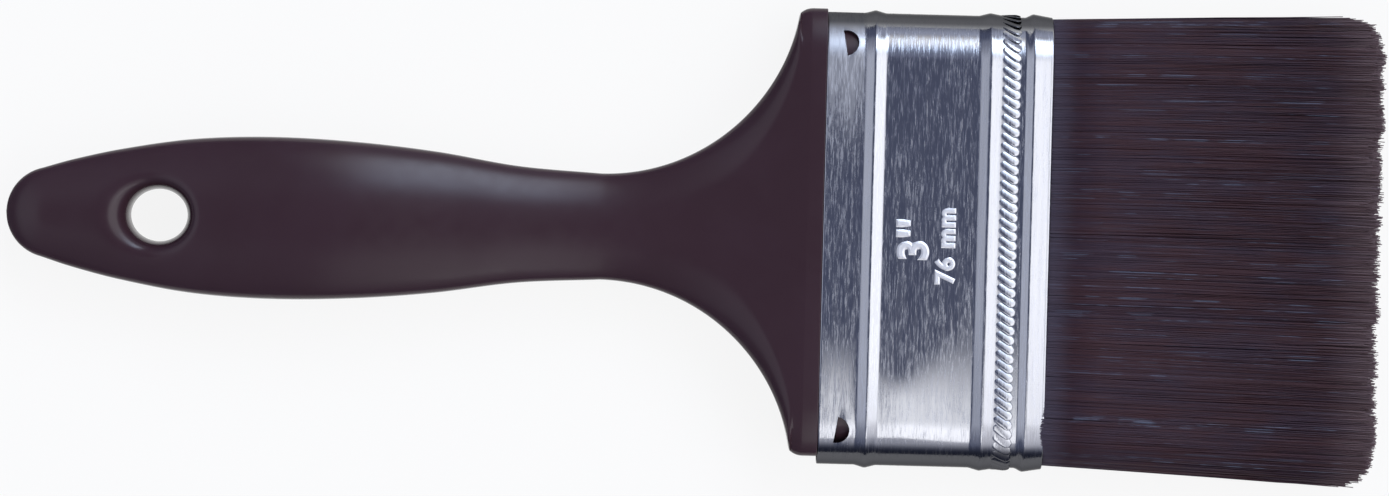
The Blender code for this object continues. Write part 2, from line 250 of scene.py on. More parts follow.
# A small soft box over the lower part of the ferrule, just outside the view: its low and high corners.
# It fades in from its high edge in steps.
SOFT_BOX = ((0.022, -0.400, 0.280), (0.088, -0.032, 0.280))
SOFT_BOX_RADIANCE = 1.18
SOFT_BOX_STEPS = 5
SOFT_BOX_FADE = 0.024

# Camera
SENSOR_WIDTH = 36.0
FAR_CLIP = 100.0

MERGE = 0.000001
CREASE = math.radians(38)
SOFT_CREASE = math.radians(45)


# Settings


def length(name, description, default):
    shown = {"min": 0.0, "precision": 5, "unit": "LENGTH"}
    return FloatProperty(name=name, description=description, default=default, **shown)


def share(name, description, default):
    shown = {"min": 0.0, "max": 1.0, "subtype": "FACTOR"}
    return FloatProperty(name=name, description=description, default=default, **shown)


def angle(name, description, degrees):
    return FloatProperty(name=name, description=description, default=math.radians(degrees), subtype="ANGLE")


def count(name, description, default):
    return IntProperty(name=name, description=description, default=default, min=1, max=MOST_STRANDS)


def colour(name, description, default):
    shown = {"min": 0.0, "max": 1.0, "size": 3, "subtype": "COLOR"}
    return FloatVectorProperty(name=name, description=description, default=default, **shown)


class HandleSettings(bpy.types.PropertyGroup):
    """Sizes and finish of the moulded handle."""

    grip_width: length("Grip half-width", "Half the width of the grip at its belly", 0.01365)
    grip_thickness: length("Grip half-thickness", "Half the thickness of the grip at its belly", 0.0087)
    neck_width: length("Neck half-width", "Half the width of the neck", 0.00895)
    neck_thickness: length("Neck half-thickness", "Half the thickness of the neck", 0.0058)
    flare_radius: length("Flare radius", "Radius of the shoulder's hollow", 0.0331)
    collar_width: length("Collar half-width", "Half the width of the collar at the ferrule", 0.0376)
    collar_thickness: length("Collar half-thickness", "Half the thickness of the collar", 0.0079)
    hole_distance: length("Hole distance", "From the hanging end to the middle of the hole", 0.0256)
    hole_radius: length("Hole radius", "Radius of the hole at its narrowest", 0.0049)
    hole_lip: length("Hole lip", "Mean width of the rounded lip round the hole", 0.0043)
    body_colour: colour("Plastic", "Colour of the moulded plastic", (0.0470, 0.0225, 0.0290))
    cloud_colour: colour("Plastic clouds", "Colour of its fainter clouds", (0.0500, 0.0245, 0.0320))
    roughness: share("Roughness", "How satin the plastic is", 0.21)


class FerruleSettings(bpy.types.PropertyGroup):
    """Sizes and finish of the metal ferrule, its crimp ribs and its size mark."""

    half_width: length("Half-width", "Half the width of the plain sheet", 0.0381)
    half_thickness: length("Half-thickness", "Half the thickness across the plain sheet", 0.0080)
    sheet: length("Sheet", "Thickness of the sheet", 0.0004)
    bead_height: length("Bead height", "How far a bead stands out of the sheet", 0.0005)
    sag: length("Sag", "How far the panel drops towards its lower edge", 0.00075)
    stake_radius: length("Stake radius", "Radius of the half-round stakes", 0.0023)
    rib_pitch: length("Rib pitch", "Distance between the ribs of the crimp", 0.00158)
    rib_length: length("Rib length", "Length of a rib", 0.0038)
    rib_width: length("Rib width", "Width of a rib", 0.0018)
    rib_height: length("Rib height", "How far a rib swells out of the band", 0.00018)
    rib_slant: angle("Rib slant", "Turn of a rib from the length of the brush", 35)
    rib_tilt: angle("Rib tilt", "How far a rib leans over the next one", 10)
    mark_inches: StringProperty(name="Size mark", description="Width in inches", default="3''")
    mark_metric: StringProperty(name="Metric mark", description="Width in millimetres", default="76 mm")
    sheet_colour: colour("Metal", "Colour of the bright metal", (0.520, 0.527, 0.550))
    fleck_colour: colour("Metal flecks", "Colour of its brighter flecks", (0.600, 0.612, 0.650))
    # Painted shade: a dark colour and a grey specular tint on the narrow sides darken what they reflect
    painted_shade_side_colour: colour("Metal sides", "Colour of its dulled narrow sides", (0.105, 0.106, 0.116))
    painted_shade_edge_tint: colour("Metal edges", "Light that its sides throw back at a low slant", (0.45, 0.45, 0.45))
    roughness: share("Roughness", "How dull the metal is", 0.105)
    fleck_roughness: share("Fleck roughness", "How much duller its flecks are", 0.16)
    rubbed: share("Rubbed", "How much duller it is where a stake was driven", 0.26)
    # Painted highlight: the raised mark gets a bright, rough metal, partly the wear of its high spots
    worn_highlight_colour: colour("Metal on high spots", "Colour of the worn size mark", (0.880, 0.882, 0.900))
    worn_roughness: share("Worn roughness", "How much duller the worn size mark is", 0.34)


class BristleSettings(bpy.types.PropertyGroup):
    """Counts, sizes and finish of the filaments and of what holds them."""

    strands: count("Strands", "Filaments in an outer row", 6000)
    core_strands: count("Core strands", "Filaments in the middle row", 4200)
    butt_strands: count("Butt strands", "Filament roots in a row", 700)
    strand_radius: length("Strand radius", "Radius of a filament at its root", 0.000134)
    butt_radius: length("Butt radius", "Radius of a filament root in the resin", 0.00016)
    crowding: FloatProperty(
        name="Crowding", description="How much an outer row crowds towards its face", default=2.6, min=1.0
    )
    jitter: share("Jitter", "How far a root strays from its even place, as a share of the width", 0.003)
    tip_half_width: length("Tip half-width", "Half the width of the head at its tips", 0.0387)
    belly_half_thickness: length("Belly half-thickness", "Half the thickness of the swollen head", 0.0085)
    tip_half_thickness: length("Tip half-thickness", "Half the thickness of the head at its tips", 0.0074)
    shift: length("Shift", "How far the head sits towards the upper side", 0.00020)
    drift: length("Drift", "How far the tips drift to the lower side", 0.00040)
    upper_corner: length("Upper corner", "Radius of the trimmed corner on the +Y side", 0.0047)
    lower_corner: length("Lower corner", "Radius of the trimmed corner on the -Y side", 0.0053)
    crown: length("Crown", "How far the outer filaments fall short of the middle ones", 0.0006)
    ragged: length("Raggedness", "How far a filament may fall short", 0.0017)
    tuft: length("Tufts", "How far a tuft of filaments may fall short", 0.0024)
    notch: length("Notches", "How deep the notches between tufts go", 0.0011)
    overrun: length("Overrun", "How far the longest filaments pass the solid ones", 0.0006)
    bunch: length("Bunching", "How far a tuft may lean", 0.0003)
    fringe: length("Fringe", "How far the outermost filaments stray outwards", 0.0007)
    lean: length("Lean", "How far a tip may lean", 0.00045)
    wave: length("Wave", "How far a filament waves", 0.00016)
    seed: IntProperty(name="Seed", description="Seed of the filaments' random places", default=11, min=0)
    warm_colour: colour("Warm filament", "Colour of the warmer filaments", (0.0660, 0.0300, 0.0370))
    cool_colour: colour("Cool filament", "Colour of the cooler filaments", (0.0560, 0.0345, 0.0520))
    # Painted glints: short pale, bluish stretches on a few filaments stand in for light caught on them
    painted_glint_colour: colour("Pale filament", "Colour of the few pale filaments", (0.1250, 0.1370, 0.1920))
    # Painted sheen: a lighter, bluer colour near the ferrule stands in for light caught on the filaments
    # there
    root_sheen_colour: colour("Root", "Colour of the filaments at the ferrule", (0.1700, 0.1500, 0.2000))
    tip_colour: colour("Tip", "Colour of the flagged tips", (0.1900, 0.1350, 0.1450))
    resin_colour: colour("Resin", "Colour of the epoxy setting", (0.36, 0.20, 0.07))
    strip_colour: colour("Spacer", "Colour of the spacer strips", (0.52, 0.38, 0.22))


class StageSettings(bpy.types.PropertyGroup):
    """Floor, light and camera."""

    floor_colour: colour("Floor", "Colour of the floor", (0.92, 0.91, 0.88))
    floor_glow: share("Floor glow", "Share of the floor's white that needs no light", 0.88)
    floor_size: length("Floor size", "Length of a side of the floor", 24.0)
    light: FloatProperty(name="Light", description="Strength of the soft light", default=1.0, min=0.0)
    camera_height: length("Camera height", "Height of the camera above the middle of the brush", 1.0)
    view_width: length("View width", "Width of the view at the middle of the brush", 0.2342)
    view_x: FloatProperty(name="View X", description="Middle of the view", default=0.00034, unit="LENGTH")
    view_y: FloatProperty(name="View Y", description="Middle of the view", default=-0.0023, unit="LENGTH")
    view_roll: angle("View roll", "Turn of the camera", 1.5)


class BrushSettings(bpy.types.PropertyGroup):
    """All settings of the paint brush."""

    handle: PointerProperty(type=HandleSettings)
    ferrule: PointerProperty(type=FerruleSettings)
    bristles: PointerProperty(type=BristleSettings)
    stage: PointerProperty(type=StageSettings)


# Nodes


def math_method(operation, swapped=False):
    """A method of Wire that adds a math node."""

    def method(self, *others):
        return calc(operation, *others, self) if swapped else calc(operation, self, *others)

    return method


class Wire:
    """An output of a node tree. Plain arithmetic on it adds math nodes to the tree."""

    def __init__(self, tree, socket):
        self.tree = tree
        self.socket = socket

    __abs__ = math_method("ABSOLUTE")
    __add__ = math_method("ADD")
    __radd__ = math_method("ADD", swapped=True)
    __sub__ = math_method("SUBTRACT")
    __rsub__ = math_method("SUBTRACT", swapped=True)
    __mul__ = math_method("MULTIPLY")
    __rmul__ = math_method("MULTIPLY", swapped=True)
    __truediv__ = math_method("DIVIDE")
    __pow__ = math_method("POWER")


def feed(socket, value):
    """Links a wire to an input, or sets the input to a plain value."""
    if isinstance(value, Wire):
        value.tree.links.new(value.socket, socket)
    else:
        socket.default_value = value


def node(tree, kind, inputs=None, **options):
    """A node with its options and inputs set."""
    made = tree.nodes.new(kind)
    for name, value in options.items():
        setattr(made, name, value)
    for key, value in (inputs or {}).items():
        feed(made.inputs[key], value)
    return made


def wire(tree, kind, inputs=None, output=0, **options):
    """An output of a new node."""
    return Wire(tree, node(tree, kind, inputs, **options).outputs[output])


def calc(operation, *values, kind="ShaderNodeMath"):
    tree = next(value.tree for value in values if isinstance(value, Wire))
    return wire(tree, kind, dict(enumerate(values)), operation=operation)


def vector(operation, *values):
    return calc(operation, *values, kind="ShaderNodeVectorMath")


def scaled(tree, direction, factor):
    return wire(tree, "ShaderNodeVectorMath", {0: direction, "Scale": factor}, operation="SCALE")


def parts(place):
    """The three parts of a vector."""
    outputs = node(place.tree, "ShaderNodeSeparateXYZ", {"Vector": place}).outputs
    return [Wire(place.tree, socket) for socket in outputs]


def joined(tree, x=0.0, y=0.0, z=0.0):
    return wire(tree, "ShaderNodeCombineXYZ", {"X": x, "Y": y, "Z": z})


def clamped(value, low, high):
    return calc("MINIMUM", calc("MAXIMUM", value, low), high)


def eased(value, start, end, low=0.0, high=1.0):
    """A value carried from start..end to low..high with soft ends."""
    ranged = {"Value": value, "From Min": start, "From Max": end, "To Min": low, "To Max": high}
    return wire(value.tree, "ShaderNodeMapRange", ranged, "Result", interpolation_type="SMOOTHSTEP")


def noise(place, scale, detail=3.0, roughness=0.5):
    wanted = {"Vector": place, "Scale": scale, "Detail": detail, "Roughness": roughness}
    return wire(place.tree, "ShaderNodeTexNoise", wanted, "Fac")


def opaque(tint):
    """A plain colour with its alpha, or a wire as it is."""
    return tint if isinstance(tint, Wire) else (*tint, 1.0)


def blended(factor, first, second):
    """A mix of two colours."""
    mixed = {0: factor, 6: opaque(first), 7: opaque(second)}
    return wire(factor.tree, "ShaderNodeMix", mixed, 2, data_type="RGBA")


def stretched(place, scale):
    return wire(place.tree, "ShaderNodeMapping", {"Vector": place, "Scale": scale})


def bumped(height, strength, distance, below=None):
    relief = {"Height": height, "Strength": strength, "Distance": distance}
    if below:
        relief["Normal"] = below
    return wire(height.tree, "ShaderNodeBump", relief)


# Finishes


def start_finish(name):
    """A new material and the piece's own coordinates in its tree."""
    material = bpy.data.materials.new(name)
    material.use_nodes = True
    return material, wire(material.node_tree, "ShaderNodeTexCoord", output="Object")


def end_finish(material, looks):
    """Sets inputs of the material's shader."""
    shader = material.node_tree.nodes["Principled BSDF"]
    for name, value in looks.items():
        feed(shader.inputs[name], value)
    return material


def dimmed(tint, part):
    return tuple(part * level for level in tint)


def plastic_finish(sizes):
    """Satin moulded plastic with faint clouds, a fine grain and a parting line at the mid plane."""
    material, place = start_finish("satin_moulded_plastic")
    clouds = eased(noise(place, scale=85.0, detail=4.0), 0.36, 0.66)
    rubs = noise(place, scale=420.0, detail=4.0, roughness=0.6)
    off_middle = abs(parts(place)[2] - MIDDLE_Z)
    seam = bumped(eased(off_middle, *SEAM, 1.0, 0.0), strength=0.6, distance=SEAM_DEPTH)
    grain = noise(place, scale=3200.0, detail=2.0)
    return end_finish(material, {
        "Base Color": blended(clouds, sizes.body_colour, sizes.cloud_colour),
        "Roughness": eased(rubs, 0.3, 0.7, sizes.roughness - 0.02, sizes.roughness + 0.03),
        "Specular IOR Level": 0.40,
        "Normal": bumped(grain, strength=0.10, distance=GRAIN_DEPTH, below=seam),
    })


def metal_finish(sizes):
    """Bright sheet with fine flecks drawn out across the brush, with painted shade on its narrow sides.

    It is rubbed where a stake was driven, and its size mark is worn and brightened with a painted highlight.
    """
    material, place = start_finish("bright_ferrule_metal")
    x, y, z = parts(place)
    flecks = noise(stretched(place, (1.0, 0.09, 0.09)), scale=5000.0, detail=3.0, roughness=0.6)
    flecked = eased(flecks, 0.44, 0.67)
    scuffs = noise(stretched(place, (1.0, 0.04, 0.04)), scale=1500.0, detail=2.0)
    # Painted shade: the narrow sides get a dark colour and a grey specular tint
    painted_dark = eased(abs(y - SIDE_SHADE_SHIFT), *(sizes.half_width - inset for inset in SIDE_SHADE_INSETS))
    bead = REAR_X + BEADS[0][0]
    rubbed = eased(x, bead - RUB_FADE, bead + RUB_FADE, 1.0, 0.0) * eased(y, *RUB_SPREAD)
    surface = MIDDLE_Z + sizes.half_thickness
    on_panel = calc("COMPARE", x, REAR_X + sum(PANEL) / 2, (PANEL[1] - PANEL[0]) / 2)
    # Painted highlight: the raised mark gets a bright, rough metal, partly the wear of its high spots
    worn_and_highlit = on_panel * eased(z, surface + WEAR_HEIGHT / 3, surface + WEAR_HEIGHT)
    base = blended(flecked, sizes.sheet_colour, sizes.fleck_colour)
    base = blended(painted_dark, base, sizes.painted_shade_side_colour)
    rough = eased(scuffs, 0.3, 0.7, sizes.roughness - 0.03, sizes.roughness + 0.04)
    rough = flecked * sizes.fleck_roughness + rough
    rough = rubbed * sizes.rubbed + rough
    return end_finish(material, {
        "Base Color": blended(worn_and_highlit, base, sizes.worn_highlight_colour),
        "Metallic": 1.0,
        "Specular Tint": blended(painted_dark, (1.0, 1.0, 1.0), sizes.painted_shade_edge_tint),
        "Roughness": worn_and_highlit * sizes.worn_roughness + rough,
        "Normal": bumped(eased(flecks, 0.45, 0.75), strength=1.0, distance=FLECK_DEPTH),
    })


def ferrule_metal(sizes):
    """The metal finish, made the first time that it is asked for."""
    return bpy.data.materials.get("bright_ferrule_metal") or metal_finish(sizes)


def filament_finish(sizes):
    """Dark filaments in warm and cool sheaves, with painted glints on a few, a painted pale sheen at the
    ferrule, and browner at the tips.
    """
    material, place = start_finish("dark_filament")
    tone, reach = (
        wire(place.tree, "ShaderNodeAttribute", output="Fac", attribute_name=name)
        for name in ("strand_tone", "strand_share")
    )
    sheaves = noise(stretched(place, (0.25, 1.0, 1.0)), scale=320.0, detail=3.0, roughness=0.6)
    cool = eased(sheaves + tone * 0.3, 0.45, 0.85)
    # Painted glints: short pale stretches along a few filaments
    glints = noise(stretched(place, (0.35, 1.0, 1.0)), scale=600.0, detail=2.0)
    pale = eased(tone, 0.84, 0.98) * eased(glints, 0.48, 0.62)
    # Painted sheen: lighter and bluer near the ferrule
    painted_root_sheen = eased(reach, 0.03, 0.13, 0.65, 0.0)
    flagged = eased(reach, 0.85, 1.0) * eased(tone, 0.0, 0.8, 0.3, 0.9)
    body = blended(cool, sizes.warm_colour, sizes.cool_colour)
    body = blended(pale, body, sizes.painted_glint_colour)
    body = blended(painted_root_sheen, body, sizes.root_sheen_colour)
    return end_finish(material, {
        "Base Color": blended(flagged, body, sizes.tip_colour),
        "Roughness": eased(tone, 0.0, 1.0, 0.58, 0.46),
        "Specular IOR Level": 0.24,
    })


def resin_finish(sizes):
    """Cast amber resin with cloudy depth."""
    material, place = start_finish("amber_epoxy")
    clouds = noise(place, scale=260.0, detail=4.0)
    return end_finish(material, {
        "Base Color": blended(clouds, dimmed(sizes.resin_colour, 0.6), sizes.resin_colour),
        "Roughness": eased(clouds, 0.3, 0.7, 0.18, 0.34),
    })


def strip_finish(sizes):
    """Pale wood with grain along the strip."""
    material, place = start_finish("pale_spacer_wood")
    grain = noise(stretched(place, (1.0, 0.06, 1.0)), scale=1400.0, detail=5.0, roughness=0.6)
    return end_finish(material, {
        "Base Color": blended(grain, sizes.strip_colour, dimmed(sizes.strip_colour, 0.62)),
        "Roughness": eased(grain, 0.3, 0.7, 0.7, 0.9),
        "Normal": bumped(grain, strength=0.3, distance=0.00008),
    })


def floor_finish(settings):
    """Plain pale floor with a hardly visible tooth, part of whose white is its own where it is seen."""
    material, place = start_finish("pale_floor")
    tree = material.node_tree
    tooth = noise(place, scale=60.0, detail=2.0)
    end_finish(material, {
        "Base Color": blended(tooth, settings.floor_colour, dimmed(settings.floor_colour, 0.995)),
        "Roughness": 0.9,
        "Specular IOR Level": 0.2,
    })
    path = node(tree, "ShaderNodeLightPath").outputs
    seen = 0.0
    for ray in ("Is Camera Ray", "Is Glossy Ray", "Is Transmission Ray"):
        seen = calc("MAXIMUM", seen, Wire(tree, path[ray]))
    lit = Wire(tree, tree.nodes["Principled BSDF"].outputs["BSDF"])
    white = wire(tree, "ShaderNodeEmission")
    mixed = wire(tree, "ShaderNodeMixShader", {0: seen * settings.floor_glow, 1: lit, 2: white})
    feed(tree.nodes["Material Output"].inputs["Surface"], mixed)
    return material


# Meshes


def smooth(part):
    """A share between 0 and 1 with soft ends."""
    part = min(max(part, 0.0), 1.0)
    return part * part * (3 - 2 * part)


def spaced(start, end, steps):
    """Evenly spaced values from start to end, with both ends."""
    return [start + (end - start) * index / steps for index in range(steps + 1)]


def along(keys, at):
    """Value at a place on the smooth curve through (place, value) keys."""
    last = len(keys) - 1
    index = max((i for i in range(last) if keys[i][0] <= at), default=0)

    def slope(key):
        before = keys[max(key - 1, 0)]
        after = keys[min(key + 1, last)]
        return (after[1] - before[1]) / (after[0] - before[0])

    (start, low), (end, high) = keys[index], keys[index + 1]
    span = end - start
    t = min(max((at - start) / span, 0.0), 1.0)
    bulge = t * (1 - t) * span
    return low + (high - low) * smooth(t) + bulge * ((1 - t) * slope(index) - t * slope(index + 1))


def softened(reach):
    """A reach held back to 1 with a soft bend."""
    return reach / (1 + reach**EDGE_HARDNESS) ** (1 / EDGE_HARDNESS)


def sharpened(reach):
    """The reach that softened() holds back to this one."""
    return reach / (1 - reach**EDGE_HARDNESS) ** (1 / EDGE_HARDNESS)


def side_reach(turn, wall):
    """Sideways reach of an oval at a turn from its side, cut back by its wall's share to an upright side."""
    if wall == 0.0:
        return math.cos(turn)
    return softened((1 + wall) * math.cos(turn)) / softened(1 + wall)


def oblong(half_width, half_thickness, flat, steps, arc_share=None, wall=0.0):
    """Points (y, z) round a section with straight faces and half-oval edges, from +Y over the front."""
    arc = math.pi / 2 * math.hypot(half_width - flat, half_thickness) / math.sqrt(2)
    bend = arc_share or arc / (arc + FLAT_SHARE * flat)
    quarter = []
    for step in range(steps + 1):
        part = step / steps
        turn = math.pi / 2 * min(part / bend, 1.0)
        straight = flat if part <= bend else flat * (1 - part) / (1 - bend)
        out = (half_width - flat) * side_reach(turn, wall)
        quarter.append((straight + out, half_thickness * math.sin(turn)))
    upper = quarter[:-1] + [(-y, z) for y, z in quarter[:0:-1]]
    return upper + [(-y, -z) for y, z in upper]


def ring_at(x, points, y=0.0):
    return [Vector((x, across + y, MIDDLE_Z + level)) for across, level in points]


def add_loft(mesh, rings):
    """Skins closed rings of equal length in order, and returns their vertices."""
    loops = [[mesh.verts.new(point) for point in ring] for ring in rings]
    for loop, following in zip(loops, loops[1:]):
        for index, corner in enumerate(loop):
            after = (index + 1) % len(loop)
            mesh.faces.new((corner, loop[after], following[after], following[index]))
    return loops


def new_object(name, data):
    made = bpy.data.objects.new(name, data)
    bpy.context.scene.collection.objects.link(made)
    return made


def shade(piece, crease=CREASE):
    piece.data.shade_smooth()
    piece.data.set_sharp_from_angle(angle=crease)


def add_piece(name, mesh, material=None):
    """Turns a bmesh into a smooth piece at the origin."""
    bmesh.ops.remove_doubles(mesh, verts=mesh.verts, dist=MERGE)
    bmesh.ops.recalc_face_normals(mesh, faces=mesh.faces)
    data = bpy.data.meshes.new(name)
    mesh.to_mesh(data)
    mesh.free()
    if material:
        data.materials.append(material)
    piece = new_object(name, data)
    shade(piece)
    return piece


def made_mesh(piece):
    """A new mesh of what a piece's modifiers or curves make."""
    depsgraph = bpy.context.evaluated_depsgraph_get()
    return bpy.data.meshes.new_from_object(piece.evaluated_get(depsgraph), depsgraph=depsgraph)


def settle(piece):
    """Replaces a piece's modifiers by the mesh that they make."""
    data = made_mesh(piece)
    piece.modifiers.clear()
    piece.data = data


def even_normals(piece):
    """Lets large faces set the shading over slivers beside them."""
    even = piece.modifiers.new("even_normals", "WEIGHTED_NORMAL")
    even.keep_sharp = True
    settle(piece)


def wear(piece, body, slot, *nodes):
    """Hangs a piece on its body, in place of the nodes that it stands for."""
    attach(piece, body)
    if nodes:
        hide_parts(*nodes)


# Handle


def handle_half_width(sizes, distance):
    """Half the width at a distance: a round nose, the grip through its keys, the flare and the collar."""
    if distance < NOSE_LENGTH:
        return math.sqrt(max(NOSE_RADIUS**2 - (NOSE_RADIUS - distance) ** 2, 0.0))
    if distance < FLARE_START:
        keys = (
            (NOSE_LENGTH, 0.00749),
            (0.0110, 0.00905),
            (0.0190, 0.01097),
            (0.0310, 0.01295),
            (0.0440, sizes.grip_width),
            (0.0580, 0.01322),
            (0.0720, 0.01193),
            (0.0860, 0.00984),
            (FLARE_START, sizes.neck_width),
        )
        return along(keys, distance)
    rise = min(distance - FLARE_START, sizes.flare_radius)
    flare = sizes.neck_width + sizes.flare_radius - math.sqrt(sizes.flare_radius**2 - rise**2)
    short = min(max(COLLAR_START - distance, 0.0), COLLAR_FILLET)
    collar = sizes.collar_width - COLLAR_FILLET + math.sqrt(COLLAR_FILLET**2 - short**2)
    return min(flare, collar)


def handle_half_thickness(sizes, distance):
    """Half the thickness at a distance, through its keys, with the nose eased."""
    keys = (
        (0.0000, 0.0044),
        (0.0250, 0.0068),
        (0.0520, sizes.grip_thickness),
        (0.0790, 0.0070),
        (FLARE_START, sizes.neck_thickness),
        (0.1180, 0.0062),
        (0.1350, sizes.collar_thickness),
        (HANDLE_LENGTH, sizes.collar_thickness),
    )
    short = max(1 - (distance + NOSE_WALL) / NOSE_EASE, 0.0)
    return along(keys, distance) * math.sqrt(1 - short**2)


def handle_section(sizes, distance):
    """Half-width, half-thickness, half of the straight face and wall of the handle's section.

    The wall is such that the face meets the upright side at the edge's slope, square to the outline.
    """
    half_width = handle_half_width(sizes, distance)
    half_thickness = handle_half_thickness(sizes, distance)
    flat = smooth((distance - FLARE_START) / sizes.flare_radius) * (half_width - half_thickness)
    before = handle_half_width(sizes, distance - SLOPE_STEP)
    after = handle_half_width(sizes, distance + SLOPE_STEP)
    steepness = math.hypot(1.0, (after - before) / (2 * SLOPE_STEP))
    tall = half_thickness * steepness / max(half_width - flat, MERGE) / EDGE_SLOPE
    wall = math.sqrt((1 + math.sqrt(1 + 4 * tall**2)) / 2) - 1
    return half_width, half_thickness, flat, wall


def handle_height(sizes, distance, y):
    """Height of the grip's oval above the mid plane."""
    half_width, half_thickness, _, wall = handle_section(sizes, distance)
    reach = abs(y) / max(half_width, MERGE) * softened(1 + wall)
    off_middle = min(sharpened(min(reach, FULL_REACH)) / (1 + wall), 1.0)
    return half_thickness * math.sqrt(1 - off_middle**2)


def tail_outline(sizes):
    """Points (distance, y) round the hanging end: across its joint with the grip, then round the nose."""
    half_width, _, _, wall = handle_section(sizes, TAIL_PATCH)
    turns = spaced(0.0, math.pi, 2 * RING_STEPS)
    across = [(TAIL_PATCH, half_width * side_reach(turn, wall)) for turn in turns]
    side = spaced(TAIL_PATCH, NOSE_LENGTH, SIDE_STEPS)[1:]
    nose_turns = spaced(math.acos(1 - NOSE_LENGTH / NOSE_RADIUS), 0.0, NOSE_STEPS)[1:]
    side += [NOSE_RADIUS * (1 - math.cos(turn)) for turn in nose_turns]
    lower = [(distance, -handle_half_width(sizes, distance)) for distance in side]
    upper = [(distance, -y) for distance, y in reversed(lower[:-1])]
    return across + lower + upper


def tail_rings(sizes, face):
    """Rings from the hanging hole's waist over its rounded lip to the outline and down to the mid plane."""
    rays = []
    for distance, y in tail_outline(sizes):
        ahead = distance - sizes.hole_distance
        reach = math.hypot(ahead, y / HOLE_OVALITY)
        rays.append((ahead / reach, y / reach, reach))
    steps = [(part**HOLE_ROUNDNESS, 0.0) for part in spaced(0.0, 1.0, LIP_STEPS)[:-1]]
    steps += [(1.0, math.sin(turn)) for turn in spaced(0.0, math.pi / 2, OUTER_STEPS)]
    rings = []
    for over_lip, outward in steps:
        rise = (1 - (1 - over_lip) ** HOLE_ROUNDNESS) ** (1 / HOLE_ROUNDNESS)
        ring = []
        for ahead, aside, reach in rays:
            lip = sizes.hole_lip * (1 - LIP_SKEW * ahead)
            at = sizes.hole_radius + lip * over_lip + (reach - sizes.hole_radius - lip) * outward
            distance = max(sizes.hole_distance + ahead * at, 0.0)
            y = aside * at
            level = handle_height(sizes, distance, y) * rise
            ring.append(Vector((TAIL_X + distance, HANDLE_Y + y, MIDDLE_Z + face * level)))
        rings.append(ring)
    joint = TAIL_X + TAIL_PATCH - MERGE
    rings.append([point if point.x > joint else Vector((point.x, point.y, MIDDLE_Z)) for point in ring])
    return rings


def handle_stations(sizes):
    """Distances of the rings from the hanging end's joint to the collar."""
    grip = spaced(TAIL_PATCH, FLARE_START, GRIP_STEPS)[:-1]
    drop = sizes.neck_width + sizes.flare_radius - (sizes.collar_width - COLLAR_FILLET)
    turns = spaced(0.0, math.acos(drop / sizes.flare_radius), FLARE_STEPS)
    flare = [FLARE_START + sizes.flare_radius * math.sin(turn) for turn in turns]
    turns = spaced(0.0, math.pi / 2, FILLET_STEPS)[1:]
    return sorted(grip + flare + [COLLAR_START - COLLAR_FILLET * math.cos(turn) for turn in turns])


def handle_ring(sizes, distance, inset=0.0):
    half_width, half_thickness, flat, wall = handle_section(sizes, distance)
    points = oblong(half_width - inset, half_thickness - inset, flat, RING_STEPS, wall=wall)
    return ring_at(TAIL_X + distance, points, HANDLE_Y)


def build_handle(sizes):
    """The whole moulding, with its lipped hole and the tongue that goes into the ferrule."""
    mesh = bmesh.new()
    for face in (1, -1):
        add_loft(mesh, tail_rings(sizes, face))
    rings = [handle_ring(sizes, distance) for distance in handle_stations(sizes)]
    for turn in spaced(0.0, math.pi / 2, EDGE_STEPS):
        distance = HANDLE_LENGTH - COLLAR_EDGE * (1 - math.sin(turn))
        rings.append(handle_ring(sizes, distance, COLLAR_EDGE * (1 - math.cos(turn))))
    flat = TONGUE_HALF_WIDTH - TONGUE_HALF_THICKNESS
    tongue = oblong(TONGUE_HALF_WIDTH, TONGUE_HALF_THICKNESS, flat, RING_STEPS)
    for end in (HANDLE_LENGTH, HANDLE_LENGTH + TONGUE_LENGTH):
        rings.append(ring_at(TAIL_X + end, tongue, HANDLE_Y))
    loops = add_loft(mesh, rings)
    mesh.faces.new(loops[-1])
    handle = add_piece("moulded_handle", mesh, plastic_finish(sizes))
    shade(handle, SOFT_CREASE)
    even_normals(handle)
    return handle


# Ferrule


def ferrule_height(sizes, distance):
    """How far the sheet stands out of its plain surface: straight slopes with short rounded corners."""
    first, second, third = BEADS
    crest = sizes.bead_height
    corners = (
        (0.0, 0.0), (first[0], 0.0), (first[1], crest), (first[2], 0.0),
        (second[0], 0.0), (second[1], crest), (CRIMP[0], CRIMP_RISE), (CRIMP[1], -CRIMP_DEPTH),
        (third[0], -CRIMP_DEPTH), (third[1], crest), (third[2], 0.0), (FERRULE_LENGTH, 0.0),
    )
    total = 0.0
    for sample in range(EASE_SAMPLES):
        at = distance + CORNER_EASE * (2 * sample / (EASE_SAMPLES - 1) - 1)
        at = min(max(at, 0.0), FERRULE_LENGTH - MERGE)
        index = max(i for i in range(len(corners)) if corners[i][0] <= at)
        (start, low), (end, high) = corners[index], corners[index + 1]
        total += low + (high - low) * (at - start) / (end - start)
    return total / EASE_SAMPLES


def ferrule_stations(sizes):
    """Distances of the sheet's rings, which are coarser on the panel."""
    edge = sizes.sheet / 2
    front = FERRULE_LENGTH - edge
    runs = ((edge, PANEL[0], PROFILE_STEP), (*PANEL, PANEL_STEP), (PANEL[1], front, PROFILE_STEP))
    stations = [front]
    for start, end, step in runs:
        stations += spaced(start, end, round((end - start) / step))[:-1]
    return sorted(stations)


def ferrule_ring(sizes, distance, height):
    half_thickness = sizes.half_thickness + height
    flat = sizes.half_width - sizes.half_thickness
    points = oblong(sizes.half_width + height, half_thickness, flat, FERRULE_STEPS, FERRULE_ARC_SHARE)
    return ring_at(REAR_X + distance, points)


